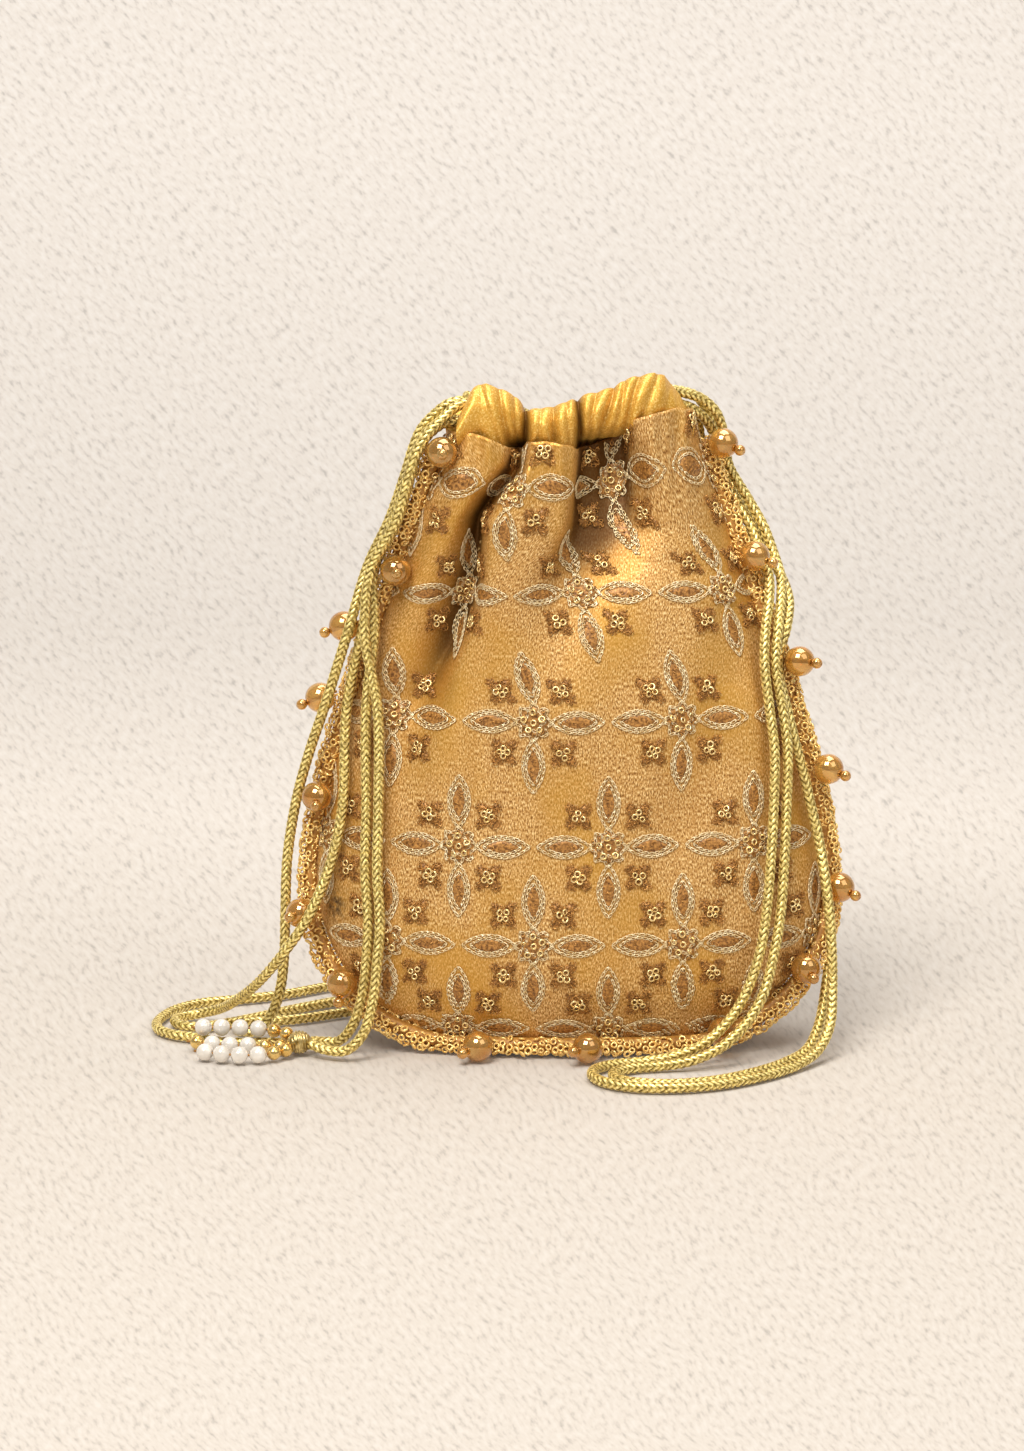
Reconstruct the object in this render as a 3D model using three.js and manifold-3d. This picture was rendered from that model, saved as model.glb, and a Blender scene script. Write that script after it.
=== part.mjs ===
// A drawstring pouch of gold tissue cloth, standing on its flattened bottom.
// Millimetres, +Z up, the front faces -Y, the origin is the middle of the base.
import * as THREE from "three";
import { mergeVertices } from "three/addons/utils/BufferGeometryUtils.js";
import Module from "manifold-3d";

// Overall sizes of the bag
const PANEL_HEIGHT = 193;
const BAG_WIDTH = 159;
const FRONT_DEPTH = 30;
const BACK_DEPTH = 45;

// Cloth and clearances
const PANEL_THICKNESS = 1.2;
const LINING_THICKNESS = 0.8;
const CASING_THICKNESS = 0.8;
const CASING_TUCK = 3;
const GAP = 0.3;
const FLOOR_PLAY = 0.2;

// Drawcord and the channel that it runs in
const CORD_DIAMETER = 3.4;
const CORD_RUNS = 4;
const CORD_SIDES = 8;
const CORD_STEP = 9.5;
const SIDE_OPENING = 16;
const CHANNEL_PLAY = 0.8;

// Trim and beads
const EDGING_DIAMETER = 5.4;
const EDGE_BEAD_DIAMETER = 9.5;
const TIP_BEAD_DIAMETER = 3.5;
const THREAD_DIAMETER = 1.4;
const EDGING_TOP_DROP = 6;
const BASE_STAND = 1.35;
const KNOB_DIAMETER = 7.2;
const PEARL_DIAMETER = 5.4;
const GOLD_BEAD_DIAMETER = 4.4;

// The neck is turned so that its left end comes forward
const NECK_TURN = THREE.MathUtils.degToRad(18);
const TURN_START = 0.55;

// Facets round the bag and over a bead
const BAG_SIDES = 36;
const BEAD_SIDES = 8;

// Sections up the bag: height, half width, front depth and back depth as shares of the overall
// sizes, and how far the side seam lies in front of the middle in millimetres
const SECTIONS = [
  [0.0, 0.4, 0.17, 0.87, -18],
  [0.022, 0.555, 0.3, 0.93, -17],
  [0.052, 0.705, 0.46, 0.98, -15],
  [0.104, 0.85, 0.7, 0.99, -12],
  [0.176, 0.955, 0.9, 0.92, -8],
  [0.27, 1.0, 1.0, 0.82, -3],
  [0.394, 0.956, 0.97, 0.73, 0],
  [0.528, 0.867, 0.87, 0.63, 0],
  [0.663, 0.759, 0.73, 0.52, 0],
  [0.788, 0.66, 0.62, 0.43, 0],
  [0.891, 0.585, 0.55, 0.38, 0],
  [1.0, 0.497, 0.535, 0.356, 0],
  [1.1, 0.465, 0.535, 0.356, 0],
];

// Gathers: side (-1 front, 1 back), sideways place at the top and at the foot as shares of the
// half width, width and depth in millimetres, and the height share where the fold runs out
const GATHERS = [
  { side: -1, top: -0.38, foot: -0.55, width: 7, depth: 5, runsOut: 0.55 },
  { side: -1, top: 0.3, foot: 0.12, width: 9, depth: 4, runsOut: 0.68 },
  { side: 1, top: -0.3, foot: -0.3, width: 9, depth: 4, runsOut: 0.62 },
  { side: 1, top: 0.32, foot: 0.36, width: 8, depth: 4, runsOut: 0.58 },
];

// Beads along the edging: side, height share, angle of the seat from outward to frontward, and
// the way that the tip bead points
const SIDE_BEADS = [
  { side: 1, height: 0.967, seat: 55, tip: [0.8, -0.5, -0.3] },
  { side: 1, height: 0.788, seat: 72, tip: [0.9, -0.4, -0.3] },
  { side: 1, height: 0.622, seat: 50, tip: [0.8, -0.6, 0] },
  { side: 1, height: 0.448, seat: 60, tip: [0.8, -0.55, -0.25] },
  { side: 1, height: 0.259, seat: 80, tip: [0.75, -0.6, -0.3] },
  { side: 1, height: 0.13, seat: 112, tip: [0.3, -0.9, -0.3] },
  { side: 1, height: 0.026, seat: 122, tip: [0.3, -0.9, 0.1] },
  { side: -1, height: 0.109, seat: 107, tip: [-0.15, -0.5, -0.85] },
  { side: -1, height: 0.221, seat: 78, tip: [-0.5, -0.85, 0] },
  { side: -1, height: 0.404, seat: 88, tip: [0, -0.95, -0.3] },
  { side: -1, height: 0.56, seat: 8, tip: [-0.9, -0.3, -0.3] },
  { side: -1, height: 0.679, seat: 2, tip: [-0.95, -0.1, -0.3] },
  { side: -1, height: 0.777, seat: 102, tip: [0.1, -1, 0] },
  { side: -1, height: 0.967, seat: 110, tip: [0.05, -1, 0] },
];
const BASE_BEADS = [
  { place: 0.16, tip: [-0.7, -0.7, 0] },
  { place: -0.9, tip: [-0.75, -0.62, -0.2] },
];

// Free cords, from the casing's end to the casing or to the tassel
const CORD_ROUTES = {
  left_cord_loop: [
    [-29, -3.1, 202.6], [-32.5, -6.8, 202.5], [-37.4, -8.6, 200.6], [-42, -8.6, 196.8],
    [-45.9, -8.5, 192.4], [-48.4, -8.5, 186.6], [-50.4, -8.8, 180], [-55.6, -7.5, 165],
    [-62.6, -6.2, 150],
    [-68.4, -10.8, 131], [-76, -8.9, 107], [-81.4, -5.2, 91], [-85.5, -4, 76],
    [-88.4, -5.5, 58], [-89, -8.4, 42], [-89.4, -10.4, 28], [-91, -9.4, 16],
    [-94.4, -7, 7], [-99, -5.6, 2.1], [-104, -3.4, 1.8], [-105.4, 2.4, 1.8],
    [-100.6, 6.6, 1.8], [-92, 8.4, 1.8], [-82.6, 12.4, 1.8], [-72, 19, 1.8],
    [-60, 24, 1.8], [-50.5, 29, 1.8], [-47.5, 36.5, 1.8], [-53, 42.6, 1.8],
    [-63, 41.4, 1.8], [-74.9, 33.6, 1.8], [-86.8, 24.4, 1.8], [-100, 12.4, 1.8],
    [-109.6, 4.6, 1.8], [-117, 0.4, 1.8], [-124, 3.6, 1.8], [-125.6, 10.4, 1.8],
    [-120.4, 15.6, 1.9], [-112.4, 12.4, 4.4], [-104.6, -3.4, 12], [-96.6, -15.4, 21],
    [-88.6, -21, 31.5], [-81.5, -20.9, 42], [-74.5, -16.9, 58], [-70.6, -14.6, 76],
    [-69.2, -9.4, 107], [-64.2, -9, 131], [-60.2, -9.4, 150], [-54.7, -11.1, 165],
    [-49.4, -12.4, 180], [-47.3, -12, 186.6], [-43.8, -11.2, 192.1], [-39, -10, 195.2],
    [-32.5, -6.8, 195.2], [-29, -3.1, 195.2],
  ],
  left_cord_end_1: [
    [-25.2, -14.9, 195.2], [-30.3, -13.6, 195.2], [-38.2, -14.6, 195.1], [-43, -15.7, 192],
    [-46.9, -16.5, 186.6], [-48.8, -16.8, 180], [-53.2, -15.6, 165], [-60.4, -13.3, 150],
    [-60.4, -13.4, 131], [-63, -14, 107], [-63, -19.6, 76], [-63.3, -23.8, 58],
    [-62.4, -26.6, 42], [-63, -28.2, 30], [-64.4, -28.8, 19], [-67.4, -27.4, 9.6],
    [-71.8, -24.8, 4], [-76, -23.6, 3.4], [-80.45, -25.1, 4],
  ],
  left_cord_end_2: [
    [-25.2, -14.9, 202.6], [-30.3, -13.6, 202.5], [-34.6, -14.9, 200.4], [-38.6, -17.1, 196.9],
    [-43, -19.4, 192.6], [-46.8, -20.3, 187], [-49, -20.4, 180.5], [-53.6, -19.4, 165],
    [-58, -18, 157], [-61.3, -17, 150], [-63.2, -17, 131], [-59.4, -17.4, 107], [-59.2, -22.4, 76],
    [-59.5, -26.2, 58], [-58.7, -28.8, 42], [-59.6, -31.2, 30], [-60.9, -33, 18.5],
    [-64, -34.2, 8.5], [-69, -34.4, 3.6], [-74.6, -32.4, 3], [-80.45, -28.9, 4],
  ],
  left_cord_tail: [
    [-84.4, -23, 3], [-87, -19.4, 1.8], [-93, -18.4, 1.8], [-101, -18.8, 1.8],
    [-109, -17.6, 1.8], [-117, -12.8, 1.8], [-124.6, -8.8, 1.8], [-129.6, -3, 1.8],
    [-131.2, 5, 1.8], [-130, 14, 1.8], [-126.4, 23, 1.8], [-119, 31, 1.8],
    [-108, 35.4, 1.8], [-93.4, 42, 1.8], [-79, 53, 1.8], [-66, 61, 1.8], [-52, 63.5, 1.8],
  ],
  right_cord_loop_outer: [
    [29, 3.1, 198.9], [32.5, 6.8, 198.9], [37.4, 10.2, 197.4], [41.8, 13.8, 193.8],
    [45, 17.6, 188.4], [45.5, 18.6, 180], [51.9, 16.4, 168], [56.6, 13.4, 160],
    [59.8, 9.2, 152], [61.9, 4, 145],
    [61.6, -1.6, 138], [60.2, -7, 130], [59.8, -11, 120], [61.4, -14, 106],
    [62.8, -17, 94], [62.4, -21.2, 76], [61.4, -25.2, 60], [60, -28.6, 45],
    [57.8, -31.6, 33], [53.4, -34.2, 21], [47, -36.8, 12], [39.6, -39.2, 6.4],
    [30, -40.4, 3], [21, -41.6, 1.9], [12.6, -44.4, 1.8], [7.2, -50, 1.8],
    [6.2, -57.2, 1.8], [9.8, -64.4, 1.8], [18, -69.4, 1.8], [30, -70.4, 1.8],
    [44, -66.6, 1.8], [58, -57, 1.8], [69, -45.4, 2], [76, -36.6, 4.4],
    [80, -29.8, 10.4], [81, -24.8, 20], [80.8, -21.2, 35], [79.5, -18, 50],
    [77, -12.6, 66], [74.6, -11, 76], [72.2, -10, 86.5], [70, -10.4, 94],
    [67, -8.5, 106], [64.3, -4.8, 120], [67, -2.1, 130], [68.2, 4.2, 138],
    [66, 10, 145], [62, 13.9, 152], [57.7, 17.2, 160],
    [52.9, 20, 168], [47.2, 21.9, 179.5], [45.8, 20.9, 187], [43.6, 19.2, 194],
    [40, 16.8, 200], [35.6, 14.6, 204.4], [30.3, 13.6, 206.2], [25.2, 14.9, 206.3],
  ],
  right_cord_loop_inner: [
    [29, 3.1, 206.3], [32.5, 6.8, 206.2], [36.6, 9.4, 204], [40.8, 11.4, 200.2],
    [45.3, 13, 196], [48.4, 15.9, 187.6], [49.8, 17, 179], [56.2, 15.4, 168],
    [60.7, 12.6, 160], [63.7, 9.6, 152],
    [65.7, 5.3, 145], [65.4, -0.2, 138], [64.3, -5.4, 130], [63.4, -9, 120],
    [65.6, -11.8, 106], [67, -14.6, 94], [66.6, -18.4, 76], [65.8, -23, 60],
    [64.6, -26.8, 45], [62.4, -30.8, 33], [58.8, -35.2, 21], [52.6, -39.2, 12],
    [45.2, -42.6, 6.4], [36, -45, 3], [27, -46.2, 1.9], [20, -47.8, 1.8],
    [14.4, -51.2, 1.8], [12.4, -56.4, 1.8], [14.6, -61.8, 1.8], [20.6, -65.2, 1.8],
    [30, -66.2, 1.8], [42.6, -62.6, 1.8], [55.2, -53.6, 1.8], [65.6, -42.4, 2],
    [72.8, -33.4, 3.6], [77, -25, 9], [79.6, -16.6, 18], [81.6, -8, 29],
    [83.2, 1.4, 42], [83.8, 4.6, 54], [80.8, 6, 76], [75.8, 6.6, 94],
    [70.4, 7.2, 110], [65.8, 9.2, 125], [61.4, 10.8, 138], [57.5, 13.8, 152],
    [52.7, 16.9, 160], [47.8, 18.9, 168], [41.9, 19.6, 179], [41, 19.2, 187],
    [39.6, 17.4, 193], [36, 14.9, 197.2], [30.3, 13.6, 198.9], [25.2, 14.9, 198.9],
  ],
};

// Tassel: the wrapped knob, and the way that each string of beads lies from it
const KNOB_PLACE = [-84, -27, 4.2];
const TASSEL_STRINGS = [
  {
    beads: "ggpppp",
    way: [[-84, -27, 4.2], [-88.6, -22.4, 5.9], [-95, -19.2, 6.2], [-104, -18.6, 6.6], [-116, -18, 6.6]],
  },
  {
    beads: "ggpppg",
    way: [[-84, -27, 4.2], [-90, -27.2, 2.9], [-98, -26.4, 2.9], [-108, -25.2, 2.9], [-120, -20.6, 2.9]],
  },
  {
    beads: "ggpppp",
    way: [[-84, -27, 4.2], [-88, -31.6, 2.9], [-94, -36.4, 2.9], [-103, -37.4, 2.9], [-117, -32, 2.9]],
  },
];

// Finishes
const finish = (color, roughness, metalness) => () =>
  new THREE.MeshStandardMaterial({ color, roughness, metalness });
const FINISHES = {
  tissue: finish(0xc08c50, 0.5, 0.35),
  lining: finish(0xcfa860, 0.7, 0.1),
  casing: finish(0xd8a542, 0.4, 0.4),
  cord: finish(0xb7a45a, 0.45, 0.5),
  seed: finish(0xb87a2c, 0.3, 0.4),
  champagne: finish(0xdaa66a, 0.1, 0.2),
  pearl: finish(0xf3eee6, 0.2, 0),
  gold: finish(0xc89b4e, 0.2, 0.8),
};

const wasm = await Module();
wasm.setup();

const HALF_WIDTH = BAG_WIDTH / 2;
const EDGING_RADIUS = EDGING_DIAMETER / 2;
const CASING_BOTTOM = PANEL_HEIGHT - CASING_TUCK;
const CASING_INSET = PANEL_THICKNESS + GAP;
const CHANNEL_WIDTH = CORD_DIAMETER + 2 * CHANNEL_PLAY;
const CASING_DEPTH = 2 * CASING_THICKNESS + CHANNEL_WIDTH;
const CHANNEL_BOTTOM = PANEL_HEIGHT + GAP;
const CORD_PITCH = CORD_DIAMETER + GAP;
const CHANNEL_TOP = CHANNEL_BOTTOM + CORD_RUNS * CORD_PITCH + 0.1;
const CASING_TOP = CHANNEL_TOP + CASING_THICKNESS;
const FIRST_CORD_HEIGHT = CHANNEL_BOTTOM + GAP + CORD_DIAMETER / 2 - 0.1;
const CORD_INSET = CASING_INSET + CASING_THICKNESS + CHANNEL_WIDTH / 2;

const sectionCurve = new THREE.CubicInterpolant(
  SECTIONS.map((row) => row[0]),
  SECTIONS.flatMap((row) => row.slice(1)),
  4,
  new Float64Array(4),
);

/** Sizes of the level section at a height. */
function sectionAt(height) {
  const [width, front, back, seam] = sectionCurve.evaluate(height / PANEL_HEIGHT);
  return { width: width * HALF_WIDTH, front: front * FRONT_DEPTH, back: back * BACK_DEPTH, seam };
}

/** A point on the bag's ring, set in from its outside, before the cloth is turned and gathered. */
function ringPoint(angle, height, inset) {
  const section = sectionAt(height);
  const depth = Math.cos(angle) > 0 ? section.front : section.back;
  return new THREE.Vector3(
    (section.width - inset) * Math.sin(angle),
    section.seam - (depth - inset) * Math.cos(angle),
    height,
  );
}

/** Push the gathers in and turn the neck. */
function drape(point) {
  const share = point.z / PANEL_HEIGHT;
  const halfWidth = sectionAt(point.z).width;
  let { x, y } = point;
  for (const fold of GATHERS) {
    const rise = THREE.MathUtils.smoothstep(share, fold.runsOut, 1);
    const climb = THREE.MathUtils.clamp((share - fold.runsOut) / (1 - fold.runsOut), 0, 1);
    const middle = halfWidth * THREE.MathUtils.lerp(fold.foot, fold.top, climb);
    const near = THREE.MathUtils.smoothstep(point.y * fold.side, -5, 7);
    const shape = Math.exp(-(((point.x - middle) / fold.width) ** 2));
    y -= fold.side * fold.depth * rise * near * shape;
  }
  const turn = NECK_TURN * THREE.MathUtils.smoothstep(share, TURN_START, 1);
  return new THREE.Vector3(
    x * Math.cos(turn) - y * Math.sin(turn),
    x * Math.sin(turn) + y * Math.cos(turn),
    point.z,
  );
}

/** Bare positions with shared corners, as a solid needs. */
function bare(geometry) {
  const copy = geometry.clone();
  copy.deleteAttribute("normal");
  copy.deleteAttribute("uv");
  return mergeVertices(copy, 1e-4);
}

function toSolid(geometry) {
  const closed = bare(geometry);
  return new wasm.Manifold(
    new wasm.Mesh({
      numProp: 3,
      vertProperties: new Float32Array(closed.attributes.position.array),
      triVerts: new Uint32Array(closed.index.array),
    }),
  );
}

function toGeometry(solid) {
  const mesh = solid.getMesh();
  const geometry = new THREE.BufferGeometry();
  geometry.setAttribute("position", new THREE.BufferAttribute(mesh.vertProperties, 3));
  geometry.setIndex(new THREE.BufferAttribute(mesh.triVerts, 1));
  return geometry;
}

/** Move every corner of a shape. */
function mapPoints(geometry, move) {
  const places = geometry.attributes.position;
  const point = new THREE.Vector3();
  for (let i = 0; i < places.count; i += 1) {
    const moved = move(point.fromBufferAttribute(places, i));
    places.setXYZ(i, moved.x, moved.y, moved.z);
  }
  return geometry;
}

/** The filled form of the bag between two heights, set in from its outside. */
function bagForm(inset, bottom, top) {
  const inside = SECTIONS.map((row) => row[0] * PANEL_HEIGHT).filter((z) => z > bottom + 1 && z < top - 1);
  const levels = [bottom, ...inside, top];
  const profile = [
    new THREE.Vector2(0, bottom),
    ...levels.map((z) => new THREE.Vector2(1, z)),
    new THREE.Vector2(0, top),
  ];
  const turned = new THREE.LatheGeometry(profile, BAG_SIDES);
  const middleOf = (z) => new THREE.Vector3(0, sectionAt(z).seam / 2, z);
  return mapPoints(turned, (p) => {
    const onAxis = Math.hypot(p.x, p.z) < 0.5;
    return onAxis ? middleOf(p.y) : ringPoint(Math.atan2(p.x, p.z), p.y, inset);
  });
}

/** A block in front of the side seam, from far left to far right. */
function frontBlock(shift) {
  const reach = 2 * BAG_WIDTH;
  const outline = new THREE.Shape();
  outline.moveTo(-reach, -reach);
  outline.lineTo(sectionAt(0).seam + shift, -reach);
  for (const [share] of SECTIONS) {
    outline.lineTo(sectionAt(share * PANEL_HEIGHT).seam + shift, share * PANEL_HEIGHT);
  }
  outline.lineTo(sectionAt(PANEL_HEIGHT).seam + shift, reach);
  outline.lineTo(-reach, reach);
  const block = new THREE.ExtrudeGeometry(outline, { depth: 2 * reach, bevelEnabled: false });
  return mapPoints(block, (p) => new THREE.Vector3(p.z - reach, p.x, p.y));
}

const bag = new THREE.Group();

function addMesh(name, geometry, look) {
  const mesh = new THREE.Mesh(geometry, FINISHES[look]());
  mesh.name = name;
  bag.add(mesh);
  return mesh;
}

const inFront = toSolid(frontBlock(-GAP / 2));
const notBehind = toSolid(frontBlock(GAP / 2));

/** Cut a ring of cloth at the side seams and hang it. */
function addHalves(ring, names, look) {
  const [frontName, backName] = names;
  addMesh(frontName, mapPoints(toGeometry(ring.intersect(inFront)), drape), look);
  addMesh(backName, mapPoints(toGeometry(ring.subtract(notBehind)), drape), look);
}

function addPanels() {
  const outside = toSolid(bagForm(0, 0, PANEL_HEIGHT));
  const inside = toSolid(bagForm(PANEL_THICKNESS, PANEL_THICKNESS, CASING_TOP));
  addHalves(outside.subtract(inside), ["front_panel", "back_panel"], "tissue");
}

function addLining() {
  const inset = PANEL_THICKNESS + GAP;
  const wall = inset + LINING_THICKNESS;
  const outside = toSolid(bagForm(inset, inset, CASING_BOTTOM - GAP));
  const inside = toSolid(bagForm(wall, wall, CASING_TOP));
  addMesh("lining_bag", mapPoints(toGeometry(outside.subtract(inside)), drape), "lining");
}

/** The casing is a flat sleeve, open at both side seams where the cords come out. */
function addCasing() {
  const middle = CASING_INSET + CASING_THICKNESS;
  const outside = toSolid(bagForm(CASING_INSET, CASING_BOTTOM, CASING_TOP));
  const mouth = toSolid(bagForm(CASING_INSET + CASING_DEPTH, CASING_BOTTOM - 5, CASING_TOP + 3));
  const channelOutside = toSolid(bagForm(middle, CHANNEL_BOTTOM, CHANNEL_TOP));
  const channelInside = toSolid(bagForm(middle + CHANNEL_WIDTH, CHANNEL_BOTTOM - 2, CHANNEL_TOP + 0.4));
  const slot = new THREE.BoxGeometry(2 * BAG_WIDTH, SIDE_OPENING, 4 * CASING_TOP);
  const sleeve = outside
    .subtract(mouth)
    .subtract(channelOutside.subtract(channelInside))
    .subtract(toSolid(slot));
  addHalves(sleeve, ["casing_front", "casing_back"], "casing");
}

/** A plain tube along a list of points. */
function cordTube(points, diameter, step) {
  const route = new THREE.CatmullRomCurve3(points, false, "centripetal");
  const section = new THREE.Shape();
  for (let i = 0; i < CORD_SIDES; i += 1) {
    const angle = (2 * Math.PI * i) / CORD_SIDES;
    const corner = [(diameter / 2) * Math.cos(angle), (diameter / 2) * Math.sin(angle)];
    if (i === 0) section.moveTo(...corner);
    else section.lineTo(...corner);
  }
  const steps = Math.max(4, Math.round(route.getLength() / step));
  return bare(new THREE.ExtrudeGeometry(section, { extrudePath: route, steps, bevelEnabled: false }));
}

/** The four runs of drawcord in the casing: two leave it on each side. */
function addCasingRuns() {
  const endAngle = THREE.MathUtils.degToRad(55);
  const runs = ["left_cord_run_lower", "right_cord_run_lower", "left_cord_run_upper", "right_cord_run_upper"];
  runs.forEach((name, level) => {
    const height = FIRST_CORD_HEIGHT + level * CORD_PITCH;
    const side = name.startsWith("left") ? -1 : 1;
    const points = [];
    const count = 36;
    for (let i = 0; i <= count; i += 1) {
      const angle = side * endAngle - (side * i * (2 * Math.PI - 2 * (Math.PI / 2 - endAngle))) / count;
      points.push(drape(ringPoint(angle, height, CORD_INSET)));
    }
    addMesh(name, cordTube(points, CORD_DIAMETER, CORD_STEP * 0.5), "cord");
  });
}

/** The way out of the side seam at a height: sideways, and forward where the seam runs under. */
function outwardAt(side, height) {
  const rise = 0.5;
  const slope = (sectionAt(height + rise).width - sectionAt(Math.max(height - rise, 0)).width) / (2 * rise);
  const under = THREE.MathUtils.clamp(slope / Math.hypot(1, slope), 0, 1);
  const turn = NECK_TURN * THREE.MathUtils.smoothstep(height / PANEL_HEIGHT, TURN_START, 1);
  const sideways = side * Math.sqrt(1 - under * under);
  const way = new THREE.Vector3(sideways * Math.cos(turn), sideways * Math.sin(turn) - under, 0);
  return { way: way.normalize(), under };
}

/** Middle of the edging beside the seam. */
function edgingPoint(side, height) {
  const seam = drape(ringPoint((side * Math.PI) / 2, height, 0));
  const { way, under } = outwardAt(side, height);
  const stand = (EDGING_RADIUS + GAP) * (1 + 1.3 * under);
  const place = seam.addScaledVector(way, stand);
  place.z = Math.max(place.z - 0.4 * under * EDGING_RADIUS, EDGING_RADIUS + FLOOR_PLAY);
  return place;
}

/** Middle of the edging along the front of the base. */
function baseEdgingPoint(place) {
  const height = EDGING_RADIUS + FLOOR_PLAY;
  const angle = Math.asin((place * sectionAt(0).width) / sectionAt(height).width);
  const front = ringPoint(angle, height, 0);
  front.y -= BASE_STAND * (EDGING_RADIUS + GAP);
  return front;
}

function addEdging() {
  const top = PANEL_HEIGHT - EDGING_TOP_DROP;
  const heights = [top, 0.89, 0.79, 0.69, 0.58, 0.47, 0.36, 0.27, 0.19, 0.12, 0.07, 0.035, 0.012]
    .map((value) => (value < 1 ? value * PANEL_HEIGHT : value));
  const left = heights.map((z) => edgingPoint(-1, z));
  const right = heights.map((z) => edgingPoint(1, z)).reverse();
  const base = [-0.75, -0.25, 0.25, 0.75].map(baseEdgingPoint);
  addMesh("beaded_edging", cordTube([...left, ...base, ...right], EDGING_DIAMETER, CORD_STEP), "seed");
}

/** One bead with its tip bead on the same thread, turned about the thread. */
function edgeBeadForm() {
  const large = EDGE_BEAD_DIAMETER / 2;
  const small = TIP_BEAD_DIAMETER / 2;
  const thread = THREAD_DIAMETER / 2;
  const tipMiddle = large + small - 0.2;
  const profile = [new THREE.Vector2(0, -large)];
  for (const angle of [-60, -30, 0, 30, 60]) {
    const turn = THREE.MathUtils.degToRad(angle);
    profile.push(new THREE.Vector2(large * Math.cos(turn), large * Math.sin(turn)));
  }
  profile.push(new THREE.Vector2(thread, large - 0.15));
  for (const angle of [0, 50]) {
    const turn = THREE.MathUtils.degToRad(angle);
    profile.push(new THREE.Vector2(small * Math.cos(turn), tipMiddle + small * Math.sin(turn)));
  }
  profile.push(new THREE.Vector2(0, tipMiddle + small));
  return bare(new THREE.LatheGeometry(profile, BEAD_SIDES));
}

function addEdgeBeads() {
  const form = edgeBeadForm();
  const radius = EDGE_BEAD_DIAMETER / 2;
  const stand = EDGING_RADIUS + 1.8 * GAP + radius;
  const baseStand = EDGING_RADIUS + GAP + radius;
  const upright = new THREE.Vector3(0, 1, 0);
  const front = new THREE.Vector3(0, -1, 0);
  const seats = SIDE_BEADS.map(({ side, height, seat, tip }) => {
    const angle = THREE.MathUtils.degToRad(seat);
    const { way, under } = outwardAt(side, height * PANEL_HEIGHT);
    const outward = way.clone();
    outward.y += under;
    outward.z = -under;
    const toward = outward.normalize().multiplyScalar(Math.cos(angle)).addScaledVector(front, Math.sin(angle));
    const middle = edgingPoint(side, height * PANEL_HEIGHT).addScaledVector(toward.normalize(), stand);
    return { middle, tip };
  });
  for (const { place, tip } of BASE_BEADS) {
    const middle = baseEdgingPoint(place);
    const lift = radius - middle.z;
    middle.y -= Math.sqrt(baseStand * baseStand - lift * lift);
    seats.push({ middle, tip });
  }
  seats.forEach(({ middle, tip }, i) => {
    middle.z = Math.max(middle.z, radius + 0.05);
    const bead = addMesh(`edge_bead_${String(i + 1).padStart(2, "0")}`, form, "champagne");
    bead.position.copy(middle);
    bead.quaternion.setFromUnitVectors(upright, new THREE.Vector3(...tip).normalize());
  });
}

function addCords() {
  for (const [name, points] of Object.entries(CORD_ROUTES)) {
    const route = points.map((p) => new THREE.Vector3(...p));
    addMesh(name, cordTube(route, CORD_DIAMETER, CORD_STEP), "cord");
  }
}

/** Beads strung one after another along a short curve from the knob. */
function addTassel() {
  const ball = (diameter) => bare(new THREE.SphereGeometry(diameter / 2, BEAD_SIDES, 6));
  const knob = addMesh("tassel_knob", ball(KNOB_DIAMETER), "gold");
  knob.position.set(...KNOB_PLACE);
  const counts = { g: 0, p: 0 };
  const kinds = {
    g: { name: "tassel_gold_bead", diameter: GOLD_BEAD_DIAMETER, look: "gold" },
    p: { name: "tassel_pearl", diameter: PEARL_DIAMETER, look: "pearl" },
  };
  for (const { beads, way } of TASSEL_STRINGS) {
    const curve = new THREE.CatmullRomCurve3(way.map((p) => new THREE.Vector3(...p)), false, "centripetal");
    const length = curve.getLength();
    let along = KNOB_DIAMETER / 2;
    for (const letter of beads) {
      const { name, diameter, look } = kinds[letter];
      counts[letter] += 1;
      along += diameter / 2 + GAP + 0.05;
      const bead = addMesh(`${name}_${String(counts[letter]).padStart(2, "0")}`, ball(diameter), look);
      bead.position.copy(curve.getPointAt(Math.min(along / length, 1)));
      bead.position.z = Math.max(bead.position.z, diameter / 2 + 0.05);
      along += diameter / 2;
    }
  }
}

addPanels();
addLining();
addCasing();
addCasingRuns();
addEdging();
addEdgeBeads();
addCords();
addTassel();

export default bag;
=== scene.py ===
"""Drawstring pouch of gold tissue cloth with beaded edging, plaited cords and a bead tassel."""

import logging
import math
import random
from dataclasses import dataclass, field
from enum import Enum

import bpy
import numpy as np
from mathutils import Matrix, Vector


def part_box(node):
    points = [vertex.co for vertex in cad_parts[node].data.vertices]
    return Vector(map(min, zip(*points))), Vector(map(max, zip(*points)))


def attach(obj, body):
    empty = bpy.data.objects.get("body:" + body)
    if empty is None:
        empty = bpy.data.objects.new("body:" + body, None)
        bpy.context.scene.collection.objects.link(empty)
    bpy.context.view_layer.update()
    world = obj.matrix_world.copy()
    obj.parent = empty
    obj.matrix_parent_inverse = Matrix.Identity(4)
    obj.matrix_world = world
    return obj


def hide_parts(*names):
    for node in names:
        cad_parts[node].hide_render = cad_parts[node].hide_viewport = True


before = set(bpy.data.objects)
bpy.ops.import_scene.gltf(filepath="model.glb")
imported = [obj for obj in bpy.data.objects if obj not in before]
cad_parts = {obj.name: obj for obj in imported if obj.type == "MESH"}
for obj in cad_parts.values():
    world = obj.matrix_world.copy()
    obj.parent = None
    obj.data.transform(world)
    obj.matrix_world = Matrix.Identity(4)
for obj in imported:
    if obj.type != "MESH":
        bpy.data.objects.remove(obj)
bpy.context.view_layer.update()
LOG = logging.getLogger("pouch")
MM = 0.001
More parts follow.
